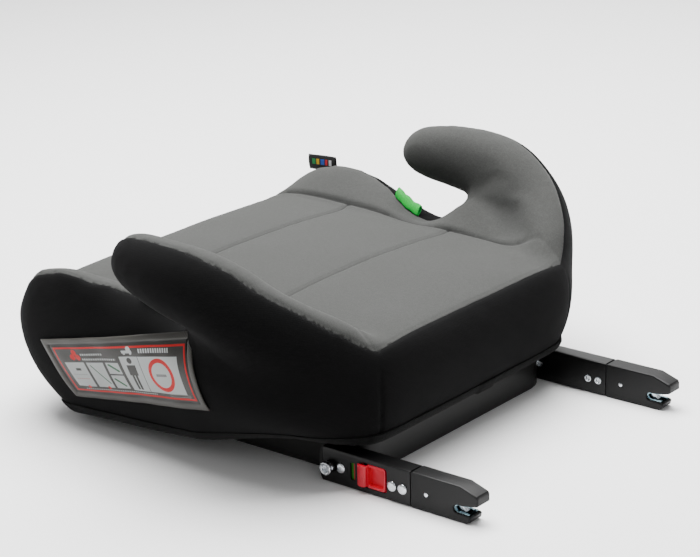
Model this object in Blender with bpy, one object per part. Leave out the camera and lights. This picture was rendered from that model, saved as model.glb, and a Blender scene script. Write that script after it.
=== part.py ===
"""A backless booster seat for a car, with two armrests and two folding anchor arms.

Every size is in millimetres and MM turns it into Blender's metres. +Z is up, -Y is the front edge,
where the child's legs hang, and +X is the child's left. The origin is on the floor, under the
middle of the object.
"""

import math

import bmesh
import bpy
from mathutils import Matrix, Vector

MM = 0.001
GAP = 0.3  # between two pieces that touch

# Soft body: (widest x, y, hem x, y, z) round the child's left half, from front centre to rear centre.
PLAN = [
    (0, -239, 0, -172, 5),
    (75, -239, 72, -172, 5),
    (130, -235, 122, -173, 5),
    (169, -226, 155, -174, 6),
    (192, -204, 174, -166, 8),
    (200, -159, 178, -142, 11),
    (202, -107, 178, -100, 14),
    (203, -80, 179, -72, 16),
    (204, -55, 179, -47, 18),
    (206, -30, 179, -25, 20),
    (208, -5, 179, -5, 23),
    (210, 35, 169, 32, 30),
    (203, 71, 158, 64, 34),
    (188, 98, 149, 93, 34),
    (165, 118, 142, 109, 34),
    (146, 131, 134, 120, 34),
    (124, 140, 121, 126, 34),
    (75, 143, 75, 127, 34),
    (0, 143, 0, 127, 34),
]
WIDEST_Z = 90  # height of the widest outline
SIDE_CURVE = 2.3  # how much the side bulges between the hem and its widest place
SIDE_LEVELS = (0, 0.4, 1)
RIM_LEVELS = (0.15, 0.5, 1)
TOP_SCALES = (0.89, 0.78, 0.67, 0.2)
TOP_CENTRE_Y = -30
REAR_RIM = 12
FRONT_RIM = 40
PAN_Z = 118  # seam round the seating surface
PAN_HALF = 132
PAN_CROWN = 7
PAN_MID_Y = -50
PAN_HALF_LENGTH = 185
PAN_FRONT_Y = -180
PAN_FRONT_DROP = 12
# Ridge of the side bolster: (y, x, z). It bends inwards and dips where the car's belt crosses it.
RIDGE = [(-239, 186, 103), (-218, 186, 117), (-190, 187, 134), (-155, 187, 142), (-122, 184, 139)]
RIDGE += [(-107, 178, 136), (-90, 171, 131), (-75, 165, 126), (-60, 161, 120), (-45, 159, 116)]
RIDGE += [(-32, 160, 115), (-20, 165, 121), (-8, 171, 132), (4, 177, 141), (20, 183, 145), (40, 187, 145)]
RIDGE += [(75, 187, 135), (105, 186, 122), (140, 186, 118)]
RIDGE_EDGE = 2  # flat width beyond the ridge
COVER = 2.5
FOAM = 11
SHELL = 3
HEM = 9
FOAM_LIFT = HEM + GAP  # of the foam's lower edge above the hem's

# Armrest: (y, centre x, centre z, vertical radius, sideways radius), from its root to its tip.
ARMREST = [
    (104, 98, 86, 24, 17),
    (109, 128, 97, 33, 22),
    (98, 154, 109, 38, 24),
    (74, 181, 126.5, 41.5, 26),
    (45, 194.5, 145.5, 40.5, 26.5),
    (15, 201, 159.5, 35, 26),
    (-22, 201.5, 165.5, 30.5, 25),
    (-58, 194.5, 168.5, 25, 23),
    (-74, 190.5, 168.5, 18.5, 17.5),
    (-82, 189, 168, 10, 10),
]
ARMREST_SIDES = 12
TIP_BULGE = 3
THINNEST_RADIUS = 2.5
CORE_INSET = 10.4  # of the plastic core inside an armrest
CORE_START = 2  # the core begins at this station, inside the shell

# Seam between grey and black cloth: (y, half width on the armrests, half width on the body).
SEAM = [(130, 128, 127), (119, 150, 149), (106, 168, 167), (86, 187, 185), (68, 198, 195), (48, 203.5, 199)]
SEAM += [(28, 208, 194), (12, 209, 186), (-4, 208.5, 175), (-20, 207.5, 166), (-40, 205, 161)]
SEAM += [(-60, 201, 163), (-75, 196, 168), (-88, 188, 174), (-105, 181, 180), (-122, 187, 186)]
SEAM += [(-155, 189, 188), (-190, 187, 186), (-215, 170, 169), (-236, 125, 124)]
SEAM_STEP_Z = 133  # above it the seam is that of the armrests
SEAM_LOW_Z = 101  # lowest grey height

# Instruction label: (y, z) of its rear and front corners, upper and lower.
LABEL_REAR = ((0, 124), (22, 64))
LABEL_FRONT = ((-173, 80), (-143, 33))
LABEL_LEAN = 0.008  # bend inwards above the widest outline
LABEL_LAYER = (1.9, 3.1)  # how far its faces stand off the cover

# Belt markers: y of their ends, and how they stand off the ridge of the bolster.
MARKER_ENDS = (-79, -48)
MARKER_OFFSET = (2.5, 2)
MARKER_RISE = (6.5, 6)
MARKER_THICK = 2.4

# Side tag on the child's right: its corner, then its length and its height.
TAG_CORNER = (-196, -170, 131)
TAG_LENGTH = (4.5, -29, 0)
TAG_HEIGHT = (1.5, 0, 14)
TAG_THICK = 1.2

# Plastic base.
BASE_HALF = 130.6
BASE_FRONT = -160
BASE_REAR = 115
BASE_TOP = 100.6  # just below the shell
BASE_CORNER = 22
BASE_EDGE = 4
FLANGE = 6
WING_Z = 52  # lower edge of the shell, above the folded arms
RIB_X = 62
RIB_Y = (-80, 15)
RIB_Z = 75
RIB_HALF = 1.3
WEB_FRONT = 79  # the webs hold the cross tube from above

# Anchor arms. A point of an arm is (a, y, z): a outward from the arm's middle plane, y from the
# joint between its steel tube and its plastic nose.
ARM_SPACING = 280  # standard spacing of the anchor bars in a car
ARM_JOINT_Y = 175
ARM_HALF = 8.25
ARM_HEIGHT = 30.3
TUBE_FRONT = -87
TUBE_WALL = 1.5
TUBE_CORNER = 2.2
BOLT_Y, BOLT_Z = -79, 15
BOLT_RADIUS = 4
BOLT_REACH = 45
HOOK_PIVOT = (44, 20.5)
HOOK_SWING = 38
NOSE_WALL = 1.75
NOSE = [(0, 0), (53, 0), (56, 1.8), (57, 5.6), (55.4, 6.7), (43.6, 7), (41.4, 8.1), (40.6, 10.2)]
NOSE += [(41.4, 12.3), (43.6, 13.4), (50, 13.7), (57, 14.9), (62.6, 16.3), (64.1, 17.6), (64.1, 23)]
NOSE += [(62.8, 25.2), (47.3, 30.3), (0, 30.3)]
NOSE_HOLLOW = [(-5, 1.8), (54.5, 1.8), (55.4, 5), (56, 12), (62.3, 18), (62.3, 23), (46.9, 28.5), (-5, 28.5)]
PLATE = [(-21, 3.2), (52.2, 2.3), (54, 3.6), (54.4, 7.6), (44, 7.7), (42.2, 8.5), (41.3, 10.2), (42.2, 12)]
PLATE += [(44, 12.8), (50, 13.1), (56, 14.2), (61.6, 18.4), (61.6, 22.6), (46.6, 27.8), (-21, 27.8)]
PLATE_INNER, PLATE_OUTER = 4.2, 6.2
HOOK = [(-7.4, -13.3), (-4, -13.6), (-3.4, -9), (-2.2, -7.2), (0, -6.7), (2.6, -7.2), (4.1, -9), (4.1, -12.5)]
HOOK += [(5.4, -13.4), (8.2, -12.4), (8.9, -9.5), (8.4, -4), (7, 1.5), (5, 3.6), (1.8, 5.4), (-1.8, 5.2)]
HOOK += [(-4.6, 3.2), (-5.6, 0), (-5.8, -4), (-7.4, -6.5)]
HOOK_HALF = 2.6
PIN_RADIUS = 2.4
NOSE_PIN = (14.6, 14.2)
REAR_RIVETS = {"middle": (-18, 13.3), "rear": (-7.7, 13.3)}
FRONT_RIVET = (-69, 15.5)
WINDOW = (-49.6, -22.8, 5, 26)
SLOT = (-59.2, -54.5, 8, 23)
BUTTON = (-43.2, -24.6, 5.6, 25.4)
BUTTON_BACK = 2.6
LOCK_Z = (17.2, 21.2)
LOCK_Y = (-57, 33)
LOCK_HALF = 1.5
LUG_Y = (-36, -32)  # the lug by which the button drives the lock plate
FLAG_WEB_Y = (-53, -50.5)
FLAG_Y = (-60.5, -47.5)
SPRING_Y = (-83.4, -43.7)
SPRING_RADIUS = 2.2
SPRING_WIRE = 0.4
SPRING_A, SPRING_Z = -2, 7.6

# Cross tube and the clamps that hold it.
TUBE_RADIUS = 8
TUBE_BORE = 4.5
TUBE_HALF = 131
SADDLE_X = 85
SADDLE_WIDTH = 10
SCREW_Y = (83.5, 108.3)


def clear_scene():
    for old in list(bpy.data.objects):
        bpy.data.objects.remove(old, do_unlink=True)


def material(name, colour, roughness, metallic=0.0):
    made = bpy.data.materials.new(name)
    made.use_nodes = True
    shader = made.node_tree.nodes["Principled BSDF"]
    shader.inputs["Base Color"].default_value = (*colour, 1)
    shader.inputs["Roughness"].default_value = roughness
    shader.inputs["Metallic"].default_value = metallic
    return made


def make_object(name, mesh, look=None, origin=(0, 0, 0)):
    """An object whose origin is at origin in the world, in millimetres; its mesh is made in place."""
    mesh.transform(Matrix.Scale(MM, 4) @ Matrix.Translation(-Vector(origin)))
    made = bpy.data.objects.new(name, mesh)
    bpy.context.collection.objects.link(made)
    made.location = Vector(origin) * MM
    if look is not None:
        mesh.materials.append(look)
        mesh.shade_smooth()
        mesh.set_sharp_from_angle(angle=math.radians(35))
    return made


def cutter(name, mesh):
    made = make_object(name, mesh)
    made.hide_render = True
    made.display_type = "WIRE"
    return made


def combine(obj, operation, *others):
    for other in others:
        step = obj.modifiers.new(operation.lower() + "_" + other.name, "BOOLEAN")
        step.operation = operation
        step.solver = "EXACT"
        step.object = other


def finish_mesh(name, shape):
    bmesh.ops.recalc_face_normals(shape, faces=shape.faces)
    mesh = bpy.data.meshes.new(name)
    shape.to_mesh(mesh)
    shape.free()
    return mesh


def add_ring(shape, points):
    return [shape.verts.new(point) for point in points]


def bridge(shape, first, second):
    """Joins two rings with triangles that all lean one way, so that nested skins never cross."""
    count = len(first)
    for i in range(count):
        j = (i + 1) % count
        shape.faces.new((first[i], first[j], second[j]))
        shape.faces.new((first[i], second[j], second[i]))


def close_end(shape, ring, tip):
    """Closes a ring with a fan of triangles that meet at tip."""
    top = shape.verts.new(tip)
    for i, vert in enumerate(ring):
        shape.faces.new((vert, ring[(i + 1) % len(ring)], top))


def loft(name, rings, first_tip=None, last_tip=None):
    """A closed skin over rings of points, with a fan at each end."""
    shape = bmesh.new()
    made = [add_ring(shape, ring) for ring in rings]
    for lower, upper in zip(made, made[1:]):
        bridge(shape, lower, upper)
    for ring, points, tip in ((made[0], rings[0], first_tip), (made[-1], rings[-1], last_tip)):
        middle = sum((Vector(p) for p in points), Vector()) / len(points)
        close_end(shape, ring, tip or middle)
    return finish_mesh(name, shape)


def band(name, rings):
    """A closed band: the rings follow each other and the last joins the first."""
    shape = bmesh.new()
    made = [add_ring(shape, ring) for ring in rings]
    for i, ring in enumerate(made):
        bridge(shape, ring, made[(i + 1) % len(made)])
    return finish_mesh(name, shape)


def prism(name, outline, depth, place):
    """An outline of pairs pushed from depth[0] to depth[1]; place(p, q, depth) gives each point."""
    shape = bmesh.new()
    ends = [add_ring(shape, [place(p, q, d) for p, q in outline]) for d in depth]
    bridge(shape, *ends)
    for end in ends:
        shape.faces.new(end)
    return finish_mesh(name, shape)


def box(name, low, high):
    outline = [(low[0], low[1]), (high[0], low[1]), (high[0], high[1]), (low[0], high[1])]
    return prism(name, outline, (low[2], high[2]), lambda x, y, z: (x, y, z))


def lathe(name, profile, place, sides=14):
    """A profile of (along, radius) turned round its axis; place(along, u, v) gives each point."""
    rings = []
    for along, radius in profile:
        angles = [2 * math.pi * i / sides for i in range(sides)]
        rings.append([place(along, radius * math.cos(t), radius * math.sin(t)) for t in angles])
    return loft(name, rings)


def rounded_box_outline(low, high, radius, steps=3):
    """Corners of a rectangle, each as an arc, counter-clockwise."""
    outline = []
    middles = [(high[0] - radius, high[1] - radius, 0), (low[0] + radius, high[1] - radius, 90)]
    middles += [(low[0] + radius, low[1] + radius, 180), (high[0] - radius, low[1] + radius, 270)]
    for p, q, start in middles:
        for i in range(steps + 1):
            angle = math.radians(start + 90 * i / steps)
            outline.append((p + radius * math.cos(angle), q + radius * math.sin(angle)))
    return outline


def hermite(a, b, slope_a, slope_b, t):
    return (
        (2 * t**3 - 3 * t**2 + 1) * a
        + (t**3 - 2 * t**2 + t) * slope_a
        + (-2 * t**3 + 3 * t**2) * b
        + (t**3 - t**2) * slope_b
    )


def read_table(table, x, column=1):
    """The smooth value of one column of a table whose first column rises or falls steadily."""
    rows = sorted(table)
    if x <= rows[0][0]:
        return rows[0][column]
    for i in range(len(rows) - 1):
        if x <= rows[i + 1][0]:
            break
    else:
        return rows[-1][column]

    def slope(k):
        low, high = rows[max(0, k - 1)], rows[min(len(rows) - 1, k + 1)]
        return (high[column] - low[column]) / (high[0] - low[0])

    width = rows[i + 1][0] - rows[i][0]
    t = (x - rows[i][0]) / width
    return hermite(rows[i][column], rows[i + 1][column], slope(i) * width, slope(i + 1) * width, t)


def top_height(x, y):
    """Height of the cloth on top of the seat, away from its rounded rim."""
    across = min(abs(x) / PAN_HALF, 1)
    along = min(abs(y - PAN_MID_Y) / PAN_HALF_LENGTH, 1)
    pan = PAN_Z + PAN_CROWN * (1 - across**2) * (1 - along**2)
    pan -= PAN_FRONT_DROP * max(0, (PAN_FRONT_Y - y) / 50) ** 2
    share = max(0, min(1, (abs(x) - PAN_HALF) / (read_table(RIDGE, y, 1) - PAN_HALF)))
    rise = share * share * (3 - 2 * share)
    return pan + (read_table(RIDGE, y, 2) - PAN_Z) * rise


def plan_samples():
    """Points of the whole outline, each (widest x, y, hem x, y, z, normal x, normal y, rim radius)."""
    left = list(PLAN)
    right = [(-x, y, -hem_x, hem_y, z) for x, y, hem_x, hem_y, z in reversed(PLAN[1:-1])]
    points = left + right
    samples = []
    for i, point in enumerate(points):
        before, after = points[i - 1], points[(i + 1) % len(points)]
        along = Vector((after[0] - before[0], after[1] - before[1])).normalized()
        rim = REAR_RIM + (FRONT_RIM - REAR_RIM) * max(0, along.x) ** 2
        rim = max(rim, abs(point[0]) - read_table(RIDGE, point[1]) - RIDGE_EDGE)
        samples.append((*point, along.y, -along.x, rim))
    return samples


SAMPLES = plan_samples()


def side_ring(inset, level, above_hem=0):
    """Points of the side at a level from 0, above_hem over the hem, to 1, at the widest outline."""
    ring = []
    for x, y, hem_x, hem_y, hem_z, normal_x, normal_y, _ in SAMPLES:
        low = hem_z + above_hem
        z = low + (WIDEST_Z - low) * level
        fall = ((WIDEST_Z - z) / (WIDEST_Z - hem_z)) ** SIDE_CURVE
        ring.append((x + (hem_x - x) * fall - normal_x * inset, y + (hem_y - y) * fall - normal_y * inset, z))
    return ring


def body_mesh(name, inset, above_hem=0, floor=None):
    """The seat without its armrests, shrunk by inset, from the hem or from a flat floor."""
    rings = [side_ring(inset, level, above_hem) for level in SIDE_LEVELS]
    if floor is not None:
        rings.insert(0, [(x, y, floor) for x, y, _ in rings[0]])
    edge = []
    for level in RIM_LEVELS:
        edge = []
        rise = math.sqrt(1 - (1 - level) ** 2)
        for x, y, _, _, _, normal_x, normal_y, rim in SAMPLES:
            inward = inset + max(rim - 0.6 * inset, 4) * level
            px, py = x - normal_x * inward, y - normal_y * inward
            edge.append((px, py, WIDEST_Z + (top_height(px, py) - inset - WIDEST_Z) * rise))
        rings.append(edge)
    for scale in TOP_SCALES:
        ring = []
        for x, y, _ in edge:
            px, py = x * scale, TOP_CENTRE_Y + (y - TOP_CENTRE_Y) * scale
            ring.append((px, py, top_height(px, py) - inset))
        rings.append(ring)
    return loft(name, rings)


def armrest_mesh(name, side, inset, start=0):
    """An armrest, shrunk by inset, from station start to its tip: ellipses across its curved middle line."""
    rings, tip = [], None
    for i, (y, x, z, tall, wide) in enumerate(ARMREST):
        if i < start:
            continue
        if min(tall, wide) - inset < THINNEST_RADIUS:
            break
        before, after = ARMREST[max(0, i - 1)], ARMREST[min(len(ARMREST) - 1, i + 1)]
        along = Vector((after[1] - before[1], after[0] - before[0], 0)).normalized()
        ring = []
        for k in range(ARMREST_SIDES):
            turn = 2 * math.pi * k / ARMREST_SIDES
            out = (wide - inset) * math.cos(turn)
            up = (tall - inset) * math.sin(turn)
            ring.append((side * (x - along.y * out), y + along.x * out, z + up))
        rings.append(ring)
        bulge = TIP_BULGE - 0.25 * inset
        tip = (side * (x + along.x * bulge), y + along.y * bulge, z)
    return loft(name, rings, last_tip=tip)


def seam_block(name, grow):
    """The space that the grey cloth fills, grown by grow: its sides and underside are the seam."""
    rings = []
    for y, half, body_half in SEAM:
        if y == SEAM[0][0]:
            y += grow
        if y == SEAM[-1][0]:
            y -= grow
        wide, body, step = half + grow, body_half + grow, SEAM_STEP_Z - grow
        left = [(body, SEAM_LOW_Z - grow), (body, step), (wide, step), (wide, 240)]
        right = [(-x, z) for x, z in reversed(left)]
        rings.append([(x, y, z) for x, z in right + left])
    return loft(name, rings)


def soft_parts(looks):
    both = (("left", 1), ("right", -1))
    cover_inside = [cutter("cut_cover_inside", body_mesh("cut_cover_inside", COVER, floor=-20))]
    cover_inside += [cutter(f"cut_sleeve_{n}", armrest_mesh(f"cut_sleeve_{n}", s, COVER)) for n, s in both]
    armrests = [cutter(f"armrest_{n}", armrest_mesh(f"armrest_{n}", s, 0)) for n, s in both]
    grey = cutter("grey_space", seam_block("grey_space", -GAP / 2))
    black = cutter("not_black_space", seam_block("not_black_space", GAP / 2))
    for name, look, operation, space in (
        ("cover_top_panel", looks["grey_fabric"], "INTERSECT", grey),
        ("cover_skirt", looks["black_fabric"], "DIFFERENCE", black),
    ):
        cover = make_object(name, body_mesh(name, 0, above_hem=HEM), look)
        combine(cover, "UNION", *armrests)
        combine(cover, "DIFFERENCE", *cover_inside)
        combine(cover, operation, space)

    top = HEM - GAP
    hem_rings = [side_ring(0, 0), side_ring(0, 0, top), side_ring(COVER, 0, top), side_ring(COVER, 0)]
    make_object("hem_elastic", band("hem_elastic", hem_rings), looks["elastic"])

    foam_inside = cutter("cut_foam_inside", body_mesh("cut_foam_inside", COVER + FOAM + GAP, floor=-20))
    tub_room = cutter("cut_tub_room", tub_block("cut_tub_room", GAP, -20, WING_Z))
    cores = [cutter(f"cut_core_{n}", armrest_mesh(f"cut_core_{n}", s, CORE_INSET - 4 * GAP)) for n, s in both]
    foam = make_object("seat_foam", body_mesh("seat_foam", COVER + GAP, floor=-10), looks["foam"])
    foam_edge = side_ring(-COVER, 0, FOAM_LIFT)
    below = loft("cut_below_foam", [[(x, y, -40) for x, y, _ in foam_edge], foam_edge])
    combine(foam, "DIFFERENCE", foam_inside, cutter("cut_below_foam", below), tub_room, *cores)
    root = cutter("cut_sleeve_root", body_mesh("cut_sleeve_root", COVER - 2 * GAP, floor=-20))
    for (name, side), core in zip(both, cores):
        sleeve_name = f"armrest_foam_{name}"
        sleeve = make_object(sleeve_name, armrest_mesh(sleeve_name, side, COVER + GAP), looks["foam"])
        combine(sleeve, "DIFFERENCE", core, root)


def tub_outline(inset):
    """The tub's plan, a rounded rectangle, shrunk by inset."""
    low = (-BASE_HALF + inset, BASE_FRONT + inset)
    high = (BASE_HALF - inset, BASE_REAR - inset)
    return rounded_box_outline(low, high, BASE_CORNER - inset, 4)


def tub_block(name, grow, low, high):
    """The room that the tub takes, grown sideways by grow, between two heights."""
    return prism(name, tub_outline(-grow), (low, high), lambda x, y, z: (x, y, z))


def base_shell(looks):
    """The moulding that carries the foam, with a socket for each armrest's core."""
    outer = COVER + FOAM + 2 * GAP
    shell = make_object("base_shell", body_mesh("base_shell", outer, floor=-10), looks["base_plastic"])
    hollow = cutter("cut_shell_inside", body_mesh("cut_shell_inside", outer + SHELL, floor=-20))
    below = cutter("cut_below_wings", box("cut_below_wings", (-260, -260, -40), (260, 200, WING_Z)))
    sockets = []
    for name, side in (("left", 1), ("right", -1)):
        core_name = f"armrest_core_{name}"
        core = armrest_mesh(core_name, side, CORE_INSET, CORE_START)
        make_object(core_name, core, looks["base_plastic"])
        socket = armrest_mesh(f"cut_socket_{name}", side, CORE_INSET - GAP)
        sockets.append(cutter(f"cut_socket_{name}", socket))
    combine(shell, "DIFFERENCE", hollow, below, *sockets)


def base_frame(looks):
    """The tub that stands on the floor, its ribs, and the cross tube clamped under its webs."""
    section = [(BASE_EDGE, 0), (1.2, 1.2), (0, BASE_EDGE), (0, BASE_TOP), (SHELL, BASE_TOP), (SHELL, SHELL)]
    section += [(SHELL + FLANGE, SHELL), (SHELL + FLANGE, 0)]
    rings = [[(x, y, z) for x, y in tub_outline(inset)] for inset, z in section]
    frame = make_object("base_frame", band("base_frame", rings), looks["base_plastic"])

    joined = []
    rib_x, rib_front, rib_rear = BASE_HALF - SHELL / 2, BASE_FRONT + SHELL / 2, BASE_REAR - SHELL / 2
    for i, y in enumerate(RIB_Y):
        rib = box(f"cross_rib_{i}", (-rib_x, y - RIB_HALF, RIB_Z), (rib_x, y + RIB_HALF, BASE_TOP - 0.8))
        joined.append(cutter(f"cross_rib_{i}", rib))
    for name, side in (("left", 1), ("right", -1)):
        x = side * RIB_X
        rib = box(
            f"long_rib_{name}", (x - RIB_HALF, rib_front, RIB_Z), (x + RIB_HALF, rib_rear, BASE_TOP - 0.4)
        )
        joined.append(cutter(f"long_rib_{name}", rib))
        x, half = side * SADDLE_X, SADDLE_WIDTH / 2
        low, high = (x - half, WEB_FRONT, BOLT_Z + GAP), (x + half, rib_rear, BASE_TOP - 0.6)
        web = box(f"tube_web_{name}", low, high)
        joined.append(cutter(f"tube_web_{name}", web))
    combine(frame, "UNION", *joined)

    def across(along, u, v):
        return (along, ARM_JOINT_Y + BOLT_Y + u, BOLT_Z + v)

    reach = TUBE_HALF + 10
    room = TUBE_RADIUS + GAP
    tube_room = cutter("cut_tube_room", lathe("cut_tube_room", [(-reach, room), (reach, room)], across, 18))
    combine(frame, "DIFFERENCE", tube_room)
    bore_mesh = lathe("cut_tube_bore", [(-reach, TUBE_BORE), (reach, TUBE_BORE)], across, 14)
    bore = cutter("cut_tube_bore", bore_mesh)
    tube = lathe("cross_tube", [(-TUBE_HALF, TUBE_RADIUS), (TUBE_HALF, TUBE_RADIUS)], across, 18)
    combine(make_object("cross_tube", tube, looks["steel"]), "DIFFERENCE", bore)

    tube_y = ARM_JOINT_Y + BOLT_Y
    notch = []
    for i in range(9):
        angle = math.radians(360 - 22.5 * i)
        notch.append((tube_y + room * math.cos(angle), BOLT_Z + room * math.sin(angle)))
    saddle = [(BASE_REAR - 3.6, BOLT_Z), *notch, (80, BOLT_Z), (80, 6.6), (88, 6.6)]
    saddle += [(90, 3.6), (102, 3.6), (104, 6.6), (BASE_REAR - 3.6, 6.6)]
    for name, side in (("left", 1), ("right", -1)):
        x = side * SADDLE_X
        depth = (x - SADDLE_WIDTH / 2, x + SADDLE_WIDTH / 2)
        clamp_mesh = prism(f"tube_saddle_{name}", saddle, depth, lambda y, z, d: (d, y, z))
        clamp = make_object(f"tube_saddle_{name}", clamp_mesh, looks["base_plastic"])
        for end, y in zip(("front", "rear"), SCREW_Y):

            def upright(along, u, v, x=x, y=y):
                return (x + u, y + v, along)

            screw_name = f"saddle_screw_{name}_{end}"
            hole = cutter(f"cut_{screw_name}", lathe(f"cut_{screw_name}", [(0, 2.1), (42, 2.1)], upright, 10))
            combine(clamp, "DIFFERENCE", hole)
            combine(frame, "DIFFERENCE", hole)
            profile = [(3.8, 2.4), (4.4, 3), (6.2, 3), (6.2, 1.7), (39, 1.7), (40.5, 0.8)]
            make_object(screw_name, lathe(screw_name, profile, upright, 10), looks["steel"])


def slab(name, place, columns, rows, heights):
    """A thin closed sheet: place(u, v, height) gives the points, u and v from 0 to 1."""
    shape = bmesh.new()
    layers = []
    for height in heights:
        grid = []
        for i in range(columns + 1):
            grid.append(add_ring(shape, [place(i / columns, j / rows, height) for j in range(rows + 1)]))
        layers.append(grid)
    for grid in layers:
        for i in range(columns):
            for j in range(rows):
                shape.faces.new((grid[i][j], grid[i + 1][j], grid[i + 1][j + 1], grid[i][j + 1]))
    low, high = layers
    rim = [(i, 0) for i in range(columns)] + [(columns, j) for j in range(rows)]
    rim += [(i, rows) for i in range(columns, 0, -1)] + [(0, j) for j in range(rows, 0, -1)]
    for (i, j), (k, m) in zip(rim, rim[1:] + rim[:1]):
        shape.faces.new((low[i][j], low[k][m], high[k][m], high[i][j]))
    return finish_mesh(name, shape)


def side_point(y, z, height):
    """A point at y and z that stands off the child's left side by height."""
    ring = []
    for x, wide_y, hem_x, hem_y, hem_z, normal_x, normal_y, _ in SAMPLES[: len(PLAN)]:
        fall = (max(0, WIDEST_Z - z) / (WIDEST_Z - hem_z)) ** SIDE_CURVE
        place_x = x + (hem_x - x) * fall + normal_x * height
        ring.append((place_x, wide_y + (hem_y - wide_y) * fall + normal_y * height))
    lean = LABEL_LEAN * max(0, z - WIDEST_Z) ** 2
    for (x0, y0), (x1, y1) in zip(ring, ring[1:]):
        if y0 <= y <= y1:
            return (x0 + (x1 - x0) * (y - y0) / (y1 - y0) - lean, y, z)
    raise ValueError("no side at this y")


def small_soft_parts(looks):
    def label_place(u, v, height):
        (top_y, top_z), (low_y, low_z) = (Vector(a).lerp(Vector(b), u) for a, b in zip(LABEL_REAR, LABEL_FRONT))
        return side_point(low_y + (top_y - low_y) * v, low_z + (top_z - low_z) * v, height)

    label = slab("instruction_label", label_place, 9, 5, LABEL_LAYER)
    make_object("instruction_label", label, looks["label"])

    for name, side in (("left", 1), ("right", -1)):

        def marker_place(u, v, height, side=side):
            y = MARKER_ENDS[0] + (MARKER_ENDS[1] - MARKER_ENDS[0]) * v
            x = read_table(RIDGE, y, 1) + MARKER_OFFSET[0] + MARKER_RISE[0] * u
            z = read_table(RIDGE, y, 2) + MARKER_OFFSET[1] + MARKER_RISE[1] * u
            return (side * x, y, z + height)

        marker = slab(f"belt_marker_{name}", marker_place, 2, 4, (0, MARKER_THICK))
        make_object(f"belt_marker_{name}", marker, looks["green_fabric"])

    def tag_place(u, v, height):
        x, y, z = Vector(TAG_CORNER) + u * Vector(TAG_LENGTH) + v * Vector(TAG_HEIGHT)
        return (x - height, y, z)

    make_object("side_tag", slab("side_tag", tag_place, 2, 1, (0, TAG_THICK)), looks["label"])


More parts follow.
